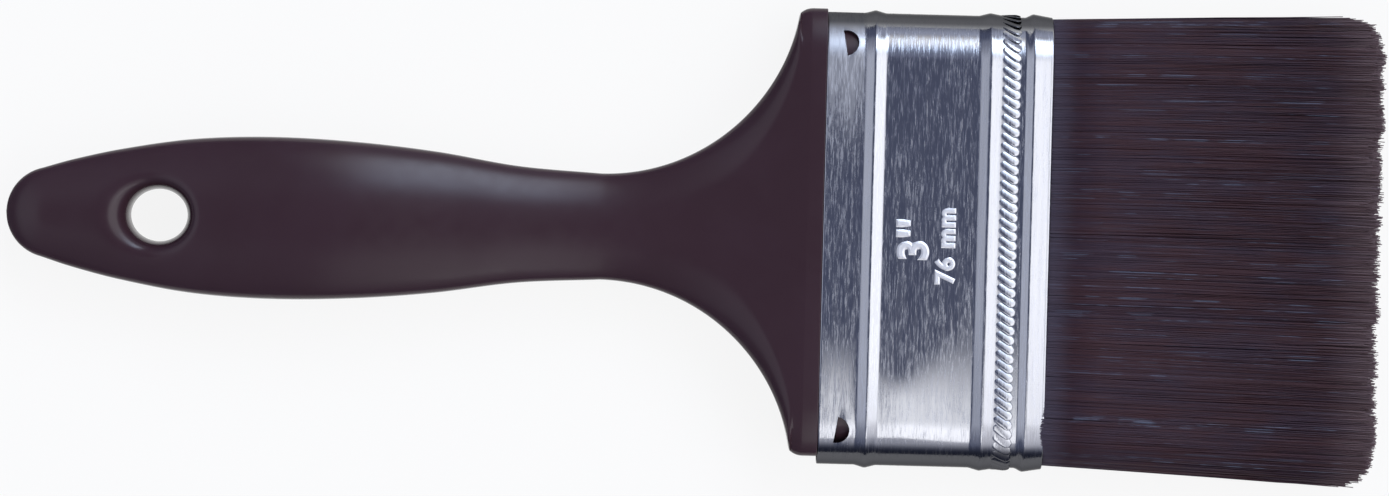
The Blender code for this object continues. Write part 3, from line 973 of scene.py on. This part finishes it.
def ferrule_rings(sizes):
    """Rings along the outside of the sheet, round its lip, back along the inside and round the rear edge."""
    edge = sizes.sheet / 2
    outside = [(distance, ferrule_height(sizes, distance)) for distance in ferrule_stations(sizes)]
    fewer = outside[::INSIDE_EVERY] + outside[-1:]
    inside = [(distance, height - sizes.sheet) for distance, height in reversed(fewer)]
    lip = [(FERRULE_LENGTH - edge * (1 - math.sin(turn)), edge * (math.cos(turn) - 1)) for turn in LIP_TURNS]
    rear = [(edge * (1 - math.sin(turn)), -edge * (math.cos(turn) + 1)) for turn in LIP_TURNS]
    route = outside + lip + inside + rear + outside[:1]
    return [ferrule_ring(sizes, distance, height) for distance, height in route]


def stake_places(sizes):
    """The frame of each stake: x along the brush from the tab's straight edge, z out of the sheet."""
    round_centre = sizes.half_width - sizes.half_thickness
    places = []
    for side, inset in zip((1, -1), STAKE_INSETS):
        off_round = sizes.half_width - inset - round_centre
        lean = math.asin(off_round / sizes.half_thickness)
        for face in (1, -1):
            y = side * (round_centre + off_round)
            z = MIDDLE_Z + face * sizes.half_thickness * math.cos(lean)
            upright = Matrix.Rotation(0.0 if face > 0 else math.pi, 4, "X")
            tilt = Matrix.Rotation(-side * face * lean, 4, "X")
            skew = Matrix.Rotation(side * face * STAKE_SKEW, 4, "Z")
            places.append(Matrix.Translation((REAR_X + STAKE_EDGE, y, z)) @ upright @ tilt @ skew)
    return places


def add_half_disc(mesh, radius, low, high, matrix):
    """A half-round plate between two heights, with its straight edge on the local y axis."""
    turns = spaced(-math.pi / 2, math.pi / 2, STAKE_ROUND)
    outline = [mesh.verts.new((radius * math.cos(turn), radius * math.sin(turn), low)) for turn in turns]
    plate = bmesh.ops.extrude_face_region(mesh, geom=[mesh.faces.new(outline)])["geom"]
    raised = [item for item in plate if isinstance(item, bmesh.types.BMVert)]
    bmesh.ops.translate(mesh, verts=raised, vec=(0, 0, high - low))
    bmesh.ops.transform(mesh, verts=outline + raised, matrix=matrix)


def raise_burrs(sizes, mesh):
    """Lets the sheet rise towards the round side of each stake."""
    far = BURR_REACH * BURR_WIDTH
    for place in stake_places(sizes):
        inward = place.inverted()
        outward = place.to_3x3() @ Vector((0, 0, 1))
        for vert in mesh.verts:
            local = inward @ vert.co
            if abs(local.z) < far and local.xy.length < sizes.stake_radius + far:
                off = max(local.xy.length - sizes.stake_radius, 0.0) / BURR_WIDTH
                ahead = smooth(local.x / (BURR_LEAD * sizes.stake_radius))
                vert.co += outward * (BURR_HEIGHT * ahead * math.exp(-off * off))


def cut_stakes(sizes, ferrule):
    """Cuts the stakes' openings out of the sheet."""
    holes = bmesh.new()
    low, high = (level * sizes.sheet for level in STAKE_CUT)
    for place in stake_places(sizes):
        add_half_disc(holes, sizes.stake_radius, low, high, place)
    cutter = add_piece("stake_cutter", holes)
    cut = ferrule.modifiers.new("stakes", "BOOLEAN")
    cut.operation = "DIFFERENCE"
    cut.object = cutter
    settle(ferrule)
    bpy.data.objects.remove(cutter, do_unlink=True)


def add_tabs(sizes, data):
    """Adds the tabs that were bent inwards out of the openings."""
    bent = Matrix.Translation((0, 0, -sizes.sheet)) @ Matrix.Rotation(STAKE_BEND, 4, "Y")
    sheets = bmesh.new()
    for place in stake_places(sizes):
        add_half_disc(sheets, sizes.stake_radius - sizes.sheet, -sizes.sheet, 0.0, place @ bent)
    bmesh.ops.recalc_face_normals(sheets, faces=sheets.faces)
    loose = bpy.data.meshes.new("stake_tabs")
    sheets.to_mesh(loose)
    sheets.free()
    whole = bmesh.new()
    whole.from_mesh(data)
    whole.from_mesh(loose)
    whole.to_mesh(data)
    whole.free()
    bpy.data.meshes.remove(loose)


def lower_side(sizes, data):
    """Lets the ferrule's faces fall away towards the lower edge, on both faces alike."""
    for vert in data.vertices:
        start = along(SAG_STARTS, vert.co.x - REAR_X)
        reach = min(max((-vert.co.y - start) / (SAG_END - start), 0.0), 1.0)
        drop = sizes.sag * reach**SAG_POWER
        vert.co.z = MIDDLE_Z + (vert.co.z - MIDDLE_Z) * (1 - drop / sizes.half_thickness)


def build_ferrule(sizes):
    """The drawn sheet with its beads, crimp band, stake openings and bent tabs."""
    mesh = bmesh.new()
    add_loft(mesh, ferrule_rings(sizes))
    bmesh.ops.remove_doubles(mesh, verts=mesh.verts, dist=MERGE)
    raise_burrs(sizes, mesh)
    ferrule = add_piece("beaded_ferrule", mesh, ferrule_metal(sizes))
    cut_stakes(sizes, ferrule)
    add_tabs(sizes, ferrule.data)
    lower_side(sizes, ferrule.data)
    shade(ferrule)
    even_normals(ferrule)
    return ferrule


# Trees


def titled(name):
    return name.replace("_", " ").title()


def new_tree(name, **kinds):
    """A geometry tree with named inputs of the given socket types, and those inputs as wires."""
    tree = bpy.data.node_groups.new(name, "GeometryNodeTree")
    tree.interface.new_socket("Geometry", in_out="OUTPUT", socket_type="NodeSocketGeometry")
    for title, kind in kinds.items():
        tree.interface.new_socket(titled(title), in_out="INPUT", socket_type="NodeSocket" + kind)
    given = tree.nodes.new("NodeGroupInput").outputs
    return tree, SimpleNamespace(**{title: Wire(tree, given[titled(title)]) for title in kinds})


def end_tree(geometry, material):
    """Ends a tree: smooth faces with their material."""
    tree = geometry.tree
    smoothed = wire(tree, "GeometryNodeSetShadeSmooth", {"Geometry": geometry})
    clad = wire(tree, "GeometryNodeSetMaterial", {"Geometry": smoothed, "Material": material})
    node(tree, "NodeGroupOutput", {"Geometry": clad})
    return tree


def grow(name, tree, **values):
    """Runs a tree with the given values, and keeps what it makes as a plain mesh piece."""
    piece = new_object(name, bpy.data.meshes.new(name))
    modifier = piece.modifiers.new(tree.name, "NODES")
    modifier.node_group = tree
    for title, value in values.items():
        modifier[tree.interface.items_tree[titled(title)].identifier] = value
    settle(piece)
    return piece


def captured(geometry, kind, **values):
    """Keeps values with the points of a geometry; returns it and the kept values by name."""
    keeper = node(geometry.tree, "GeometryNodeCaptureAttribute", {"Geometry": geometry}, domain="POINT")
    for name, value in values.items():
        keeper.capture_items.new(kind, name)
        feed(keeper.inputs[name], value)
    kept = {name: Wire(geometry.tree, keeper.outputs[name]) for name in values}
    return Wire(geometry.tree, keeper.outputs["Geometry"]), SimpleNamespace(**kept)


# Crimp ribs


def rib_tree():
    """Slanted ribs set round the crimp band, each a low half-sunk swelling."""
    tree, given = new_tree("Crimp ribs", ribs="Int", material="Material", **dict.fromkeys(RIB_SIZES, "Float"))

    # Points round the band, with the way out of it and the turn of a rib at each
    square = {"Width": given.half_width * 2.0, "Height": given.half_thickness * 2.0}
    band = wire(tree, "GeometryNodeCurvePrimitiveQuadrilateral", square)
    rounding = {"Curve": band, "Count": BAND_ROUND, "Radius": given.half_thickness}
    band = wire(tree, "GeometryNodeFilletCurve", rounding, mode="POLY")
    upright = {"Geometry": band, "Rotation": (math.pi / 2, 0.0, math.pi / 2)}
    band = wire(tree, "GeometryNodeTransform", upright)
    points = wire(tree, "GeometryNodeCurveToPoints", {"Curve": band, "Count": given.ribs})
    place = wire(tree, "GeometryNodeInputPosition")
    ahead, aside, above = parts(place)
    flat = given.half_width - given.half_thickness
    centre = joined(tree, y=clamped(aside, flat * -1.0, flat))
    outward = vector("NORMALIZE", vector("SUBTRACT", place, centre))
    outward = vector("NORMALIZE", vector("ADD", outward, joined(tree, given.fall)))
    sideways = vector("CROSS_PRODUCT", (1.0, 0.0, 0.0), outward)
    heading = vector("ADD", (1.0, 0.0, 0.0), scaled(tree, sideways, calc("TANGENT", given.slant)))
    leaning = vector("SUBTRACT", outward, scaled(tree, sideways, calc("TANGENT", given.tilt)))
    axes = {"Primary Axis": leaning, "Secondary Axis": heading}
    turned = wire(tree, "FunctionNodeAxesToRotation", axes, primary_axis="Z", secondary_axis="X")

    # One blunt swelling on each point
    ball = {"Segments": RIB_SEGMENTS, "Rings": RIB_RINGS, "Radius": 1.0}
    swelling = wire(tree, "GeometryNodeMeshUVSphere", ball)
    lying = {"Geometry": swelling, "Rotation": (0.0, math.pi / 2, 0.0)}
    swelling = wire(tree, "GeometryNodeTransform", lying)
    blunt = calc("SIGN", ahead) * abs(ahead) ** RIB_BLUNTNESS
    drawn = {"Geometry": swelling, "Position": joined(tree, blunt, aside, above)}
    swelling = wire(tree, "GeometryNodeSetPosition", drawn)
    scale = joined(tree, given.length * 0.5, given.width * 0.5, given.height)
    setting = {"Points": points, "Instance": swelling, "Rotation": turned, "Scale": scale}
    swellings = wire(tree, "GeometryNodeInstanceOnPoints", setting)
    moved = {"Geometry": swellings, "Translation": joined(tree, given.place, z=given.level)}
    swellings = wire(tree, "GeometryNodeTransform", moved)
    solid = wire(tree, "GeometryNodeRealizeInstances", {"Geometry": swellings})
    return end_tree(solid, given.material)


def build_ribs(sizes):
    """The ribs that the crimping roller leaves in the band behind the mouth."""
    start, end = CRIMP
    distance = end + RIB_OVERHANG - math.cos(sizes.rib_slant) * sizes.rib_length / 2
    rise = ferrule_height(sizes, distance)
    half_width = sizes.half_width + rise
    half_thickness = sizes.half_thickness + rise
    girth = 4 * (half_width - half_thickness) + 2 * math.pi * half_thickness
    ribs = grow(
        "crimp_ribs",
        rib_tree(),
        ribs=round(girth / sizes.rib_pitch),
        material=ferrule_metal(sizes),
        place=REAR_X + distance,
        level=MIDDLE_Z,
        half_width=half_width,
        half_thickness=half_thickness,
        length=sizes.rib_length,
        width=sizes.rib_width,
        height=sizes.rib_height,
        slant=sizes.rib_slant,
        tilt=sizes.rib_tilt,
        fall=(CRIMP_RISE + CRIMP_DEPTH) / (end - start),
    )
    lower_side(sizes, ribs.data)
    return ribs


# Size mark


def mark_mesh(text, height, flank, foot, middle, surface):
    """Raised figures with sloping flanks that read up the panel."""
    writing = bpy.data.curves.new("size_figures", "FONT")
    writing.body = text
    writing.size = 1.0
    writing.space_character = MARK_SPACING
    raised = new_object("size_figures", writing)
    tall = made_mesh(raised)
    writing.size = (height - 2 * flank) / max(vert.co.y for vert in tall.vertices)
    writing.align_x = "CENTER"
    writing.bevel_depth = flank
    writing.bevel_resolution = 0
    figures = made_mesh(raised)
    place = Matrix.Translation((REAR_X + foot - flank, middle, surface))
    flattened = Matrix.Diagonal((1.0, 1.0, MARK_SLOPE, 1.0))
    figures.transform(place @ Matrix.Rotation(math.pi / 2, 4, "Z") @ flattened)
    bpy.data.objects.remove(raised, do_unlink=True)
    bpy.data.meshes.remove(tall)
    return figures


def build_mark(sizes):
    """The nominal width in inches and in millimetres, pressed up from the front panel."""
    mesh = bmesh.new()
    for text, line in zip((sizes.mark_inches, sizes.mark_metric), MARK_LINES):
        figures = mark_mesh(text, *line, MIDDLE_Z + sizes.half_thickness)
        mesh.from_mesh(figures)
        bpy.data.meshes.remove(figures)
    mark = add_piece("size_mark", mesh, ferrule_metal(sizes))
    shade(mark, MARK_CREASE)
    return mark


# Bristles


def tip_shortfall(given, y, level, uneven):
    """How far a filament ends short of the longest: corners, crown and its own unevenness."""
    upper = calc("GREATER_THAN", y, 0.0)
    corner = upper * (given.upper_corner - given.lower_corner) + given.lower_corner
    into = clamped(abs(y) - (given.tip_half_width - corner), 0.0, corner)
    cut_away = corner - calc("SQRT", calc("MAXIMUM", corner**2.0 - into**2.0, 0.0))
    height = level / given.half_thickness
    return cut_away + (height * height * given.crown + uneven)


def bristle_tree():
    """A row of filaments, each a slim three-sided shaft that flares, leans and waves in its own way."""
    kinds = {"strands": "Int", "segments": "Int", "seed": "Int", "material": "Material"}
    tree, given = new_tree("Bristle row", **kinds, **dict.fromkeys(ROW_SIZES + ROW_SHAPE, "Float"))

    def draw(offset, low=-1.0, high=1.0):
        limits = {2: low, 3: high, 8: given.seed + float(offset)}
        return wire(tree, "FunctionNodeRandomValue", limits, 1, data_type="FLOAT")

    # Roots spread evenly over the row's part of the pack
    index = wire(tree, "GeometryNodeInputIndex")
    across = calc("FRACT", index * EVEN_ACROSS + 0.5)
    across = clamped(draw(9) * given.jitter + across, 0.0, 1.0)
    through = calc("FRACT", index * EVEN_THROUGH + 0.5) ** given.crowding
    depth = given.inner_level - given.outer_level
    root_y = (across * 2.0 - 1.0) * given.half_width
    past_flat = calc("MAXIMUM", abs(root_y) - (given.half_width - given.half_thickness), 0.0)
    past_flat = past_flat / given.half_thickness
    bow = calc("SQRT", calc("MAXIMUM", 1.0 - past_flat * past_flat, 0.0))
    root_level = (through * depth + given.outer_level) * bow
    stray = calc("GREATER_THAN", draw(1, 0.0), STRAY_FROM) * STRAY_GAIN + 1.0
    lean = given.lean * stray

    # Filaments that stand together bunch into tufts and sheaves
    root = joined(tree, root_y, root_level, given.seed * SEED_STEP)
    both = noise(root, TUFT_SCALE, detail=2.0) + noise(root, SHEAF_SCALE, detail=2.0)
    notches = noise(joined(tree, root_y, root_level * NOTCH_DEPTH), NOTCH_SCALE, roughness=0.6)
    fallen = eased(notches, *NOTCHED) * given.notch + eased(both, *TUFTED) * given.tuft
    jitter = draw(4, 0.0)
    off_middle = across - 0.5
    fringe = calc("SIGN", off_middle) * eased(abs(off_middle), *OUTERMOST)
    fringe = fringe * (given.fringe * draw(8, 0.0) ** 3.0)
    roots, kept = captured(
        wire(tree, "GeometryNodePoints", {"Count": given.strands}),
        "FLOAT",
        across=root_y,
        level=root_level,
        aside=draw(2) * lean + ((both - 1.0) * given.bunch + fringe),
        lift=draw(3) * lean,
        uneven=jitter * jitter * given.ragged + fallen,
        phase=draw(5, 0.0, 2 * math.pi),
        swing=draw(6) * given.wave,
        tone=draw(7, 0.0),
    )

    # One shaft on each root, with its own coordinates kept
    shaft = {
        "Vertices": 3,
        "Side Segments": given.segments,
        "Radius Top": given.tip_radius,
        "Radius Bottom": given.radius,
        "Depth": 1.0,
    }
    cone = wire(tree, "GeometryNodeMeshCone", shaft)
    cone, own = captured(cone, "VECTOR", place=wire(tree, "GeometryNodeInputPosition"))
    strands = wire(tree, "GeometryNodeInstanceOnPoints", {"Points": roots, "Instance": cone})
    solid = wire(tree, "GeometryNodeRealizeInstances", {"Geometry": strands})

    # Every point goes to its place along its own filament
    part = parts(own.place)[2]
    turning = {"Vector": own.place, "Angle": kept.phase}
    turned = wire(tree, "ShaderNodeVectorRotate", turning, rotation_type="Z_AXIS")
    rim_y, rim_z, _ = parts(turned)
    bend = part**BEND_POWER
    swelling = eased(part, *BELLY) * (given.belly_half_thickness - given.half_thickness)
    falling = eased(part, *TAPER) * (given.tip_half_thickness - given.belly_half_thickness)
    thick = (falling + (swelling + given.half_thickness)) / given.half_thickness
    tip_y = kept.across * (given.tip_half_width / given.half_width)
    x = part * (given.length - tip_shortfall(given, tip_y, kept.level, kept.uneven)) + given.root_place
    swing = calc("SINE", part * WAVE_TURN + kept.phase) * part * kept.swing
    y = (tip_y - kept.across) * part**FLARE_POWER + kept.across
    y = kept.aside * bend + y + swing + rim_y + given.shift - given.drift * bend
    z = kept.lift * bend + kept.level * thick + given.middle_level + rim_z
    place = joined(tree, x, y, calc("MAXIMUM", z, given.lowest))
    laid = wire(tree, "GeometryNodeSetPosition", {"Geometry": solid, "Position": place})
    for title, value in (("strand_tone", kept.tone), ("strand_share", part)):
        stored = {"Geometry": laid, "Name": title, "Value": value}
        laid = wire(tree, "GeometryNodeStoreNamedAttribute", stored)
    return end_tree(laid, given.material)


def build_row(sizes, row, tree, material):
    """The filaments of one row, from just inside the ferrule's mouth to their tips."""
    in_core = row == "middle"
    outer, inner = ROW_LEVELS[row]
    return grow(
        "filaments_" + row,
        tree,
        strands=sizes.core_strands if in_core else sizes.strands,
        segments=ROW_SEGMENTS,
        seed=sizes.seed + ROW_SEEDS * list(ROW_LEVELS).index(row),
        material=material,
        root_place=MOUTH_X - ROOT_BACK,
        length=ROOT_BACK + LENGTH_OUT + sizes.overrun,
        half_width=PACK_HALF_WIDTH,
        half_thickness=PACK_HALF_THICKNESS,
        outer_level=outer,
        inner_level=inner,
        middle_level=MIDDLE_Z,
        lowest=LOWEST,
        crowding=1.0 if in_core else sizes.crowding,
        radius=sizes.strand_radius,
        tip_radius=TIP_TAPER * sizes.strand_radius,
        **{name: getattr(sizes, name) for name in ROW_SHAPE},
    )


def build_butt(sizes, row, tree, material):
    """The straight roots of one row between the resin and the mouth."""
    outer, inner = BUTT_LEVELS[row]
    shape = dict.fromkeys(ROW_SHAPE, 0.0)
    shape["tip_half_width"] = PACK_HALF_WIDTH
    shape["belly_half_thickness"] = PACK_HALF_THICKNESS
    shape["tip_half_thickness"] = PACK_HALF_THICKNESS
    return grow(
        "filament_roots_" + row,
        tree,
        strands=sizes.butt_strands,
        segments=1,
        seed=sizes.seed,
        material=material,
        root_place=BUTT_LOW[0],
        length=BUTT_HIGH[0] - BUTT_LOW[0],
        half_width=PACK_HALF_WIDTH,
        half_thickness=PACK_HALF_THICKNESS,
        outer_level=outer,
        inner_level=inner,
        middle_level=MIDDLE_Z,
        lowest=0.0,
        crowding=1.0,
        radius=sizes.butt_radius,
        tip_radius=sizes.butt_radius,
        **shape,
    )


# Stage


def build_light(settings):
    """A soft dome, dim overhead, with bright bands round it, the side ones over the bristle half only."""
    world = bpy.data.worlds.new("soft_studio")
    world.use_nodes = True
    bpy.context.scene.world = world
    tree = world.node_tree
    x, y, z = parts(wire(tree, "ShaderNodeTexCoord", output="Generated"))
    slope = calc("DEGREES", calc("ARCCOSINE", z))
    level = calc("MAXIMUM", calc("SQRT", x * x + y * y), MERGE)
    total = SKY_COLOUR
    for (toward_x, toward_y), fade_in, fade_out, side_fade, narrowness, tint in LIGHT_BANDS:
        facing = calc("MAXIMUM", (x * toward_x + y * toward_y) / level, 0.0) ** narrowness
        band = eased(slope, *fade_in) * eased(slope, *fade_out, 1.0, 0.0)
        if side_fade:
            band = band * eased(x, *side_fade)
        total = vector("ADD", total, scaled(tree, tint, facing * band))
    background = tree.nodes["Background"]
    feed(background.inputs["Color"], total)
    feed(background.inputs["Strength"], settings.light)


def build_soft_box(settings):
    """Strips side by side, each brighter than the one before, and the plain box after them."""
    low, high = (Vector(corner) for corner in SOFT_BOX)
    edges = spaced(high.y, high.y - SOFT_BOX_FADE, SOFT_BOX_STEPS) + [low.y]
    for step, (upper, lower) in enumerate(zip(edges, edges[1:]), start=1):
        data = bpy.data.lights.new("soft_box", "AREA")
        data.shape = "RECTANGLE"
        data.size = high.x - low.x
        data.size_y = upper - lower
        radiance = settings.light * SOFT_BOX_RADIANCE * step / (SOFT_BOX_STEPS + 1)
        data.energy = radiance * math.pi * data.size * data.size_y
        strip = new_object("soft_box", data)
        strip.location = ((low.x + high.x) / 2, (upper + lower) / 2, low.z)
        strip.visible_camera = False


def build_floor(settings):
    mesh = bmesh.new()
    bmesh.ops.create_grid(mesh, x_segments=1, y_segments=1, size=settings.floor_size / 2)
    floor = add_piece("pale_floor", mesh, floor_finish(settings))


def build_camera(settings):
    """A camera straight above the brush, with the slight turn of the photograph."""
    data = bpy.data.cameras.new("camera")
    data.sensor_width = SENSOR_WIDTH
    data.lens = SENSOR_WIDTH * settings.camera_height / settings.view_width
    data.clip_end = FAR_CLIP
    camera = new_object("camera", data)
    camera.location = (settings.view_x, settings.view_y, MIDDLE_Z + settings.camera_height)
    camera.rotation_euler = (0.0, 0.0, settings.view_roll)
    bpy.context.scene.camera = camera


# Operators


class PAINTBRUSH_OT_handle(bpy.types.Operator):
    """Make the moulded handle with its lipped hanging hole"""

    bl_idname = "paintbrush.handle"
    bl_label = "Handle"

    def execute(self, context):
        wear(build_handle(context.scene.paint_brush.handle), "grip", "handle_plastic", "handle")
        return {"FINISHED"}


class PAINTBRUSH_OT_ferrule(bpy.types.Operator):
    """Make the beaded ferrule with its stakes"""

    bl_idname = "paintbrush.ferrule"
    bl_label = "Ferrule"

    def execute(self, context):
        wear(build_ferrule(context.scene.paint_brush.ferrule), "grip", "ferrule_metal", "ferrule")
        return {"FINISHED"}


class PAINTBRUSH_OT_crimp_ribs(bpy.types.Operator):
    """Make the slanted ribs of the crimp band"""

    bl_idname = "paintbrush.crimp_ribs"
    bl_label = "Crimp Ribs"

    def execute(self, context):
        wear(build_ribs(context.scene.paint_brush.ferrule), "grip", "ferrule_metal")
        return {"FINISHED"}


class PAINTBRUSH_OT_size_mark(bpy.types.Operator):
    """Make the raised size figures on the front panel"""

    bl_idname = "paintbrush.size_mark"
    bl_label = "Size Mark"

    def execute(self, context):
        wear(build_mark(context.scene.paint_brush.ferrule), "grip", "ferrule_metal")
        return {"FINISHED"}


class PAINTBRUSH_OT_bristles(bpy.types.Operator):
    """Make the three rows of filaments and their roots"""

    bl_idname = "paintbrush.bristles"
    bl_label = "Bristles"

    def execute(self, context):
        sizes = context.scene.paint_brush.bristles
        tree = bristle_tree()
        material = filament_finish(sizes)
        for row in ROW_LEVELS:
            wear(build_butt(sizes, row, tree, material), "grip", "filament", "bristle_butt_" + row)
            filaments = build_row(sizes, row, tree, material)
            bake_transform(filaments)
            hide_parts("bristle_row_" + row)
        return {"FINISHED"}


class PAINTBRUSH_OT_setting(bpy.types.Operator):
    """Give the resin and the spacer plugs inside the ferrule their finishes"""

    bl_idname = "paintbrush.setting"
    bl_label = "Setting"

    def execute(self, context):
        sizes = context.scene.paint_brush.bristles
        wood = strip_finish(sizes)
        finishes = {
            "epoxy_setting": resin_finish(sizes),
            "spacer_plug_front": wood,
            "spacer_plug_back": wood,
        }
        for name, material in finishes.items():
            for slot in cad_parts[name].material_slots:
                slot.material = material
        return {"FINISHED"}


class PAINTBRUSH_OT_stage(bpy.types.Operator):
    """Make the floor, the soft light and the camera"""

    bl_idname = "paintbrush.stage"
    bl_label = "Stage"

    def execute(self, context):
        settings = context.scene.paint_brush.stage
        context.scene.view_settings.view_transform = "Standard"
        for build in (build_light, build_soft_box, build_floor, build_camera):
            build(settings)
        return {"FINISHED"}


class PAINTBRUSH_PT_sidebar(bpy.types.Panel):
    """Lists the steps that dress the brush, with their settings"""

    bl_idname = "PAINTBRUSH_PT_sidebar"
    bl_label = "Paint Brush"
    bl_space_type = "VIEW_3D"
    bl_region_type = "UI"
    bl_category = "Paint Brush"

    def draw(self, context):
        for operator in OPERATORS:
            self.layout.operator(operator.bl_idname)
        settings = context.scene.paint_brush
        for group in (settings.handle, settings.ferrule, settings.bristles, settings.stage):
            box = self.layout.box()
            for name in group.bl_rna.properties.keys():
                if name not in ("rna_type", "name"):
                    box.prop(group, name)


OPERATORS = (
    PAINTBRUSH_OT_stage,
    PAINTBRUSH_OT_handle,
    PAINTBRUSH_OT_ferrule,
    PAINTBRUSH_OT_crimp_ribs,
    PAINTBRUSH_OT_size_mark,
    PAINTBRUSH_OT_setting,
    PAINTBRUSH_OT_bristles,
)
SETTINGS = (HandleSettings, FerruleSettings, BristleSettings, StageSettings, BrushSettings)


def register():
    for made in (*SETTINGS, *OPERATORS, PAINTBRUSH_PT_sidebar):
        bpy.utils.register_class(made)
    bpy.types.Scene.paint_brush = PointerProperty(type=BrushSettings)


def unregister():
    del bpy.types.Scene.paint_brush
    for made in reversed((*SETTINGS, *OPERATORS, PAINTBRUSH_PT_sidebar)):
        bpy.utils.unregister_class(made)


def main():
    register()
    bpy.ops.paintbrush.stage()
    bpy.ops.paintbrush.handle()
    bpy.ops.paintbrush.ferrule()
    bpy.ops.paintbrush.crimp_ribs()
    bpy.ops.paintbrush.size_mark()
    bpy.ops.paintbrush.setting()
    bpy.ops.paintbrush.bristles()


if __name__ == "__main__":
    main()
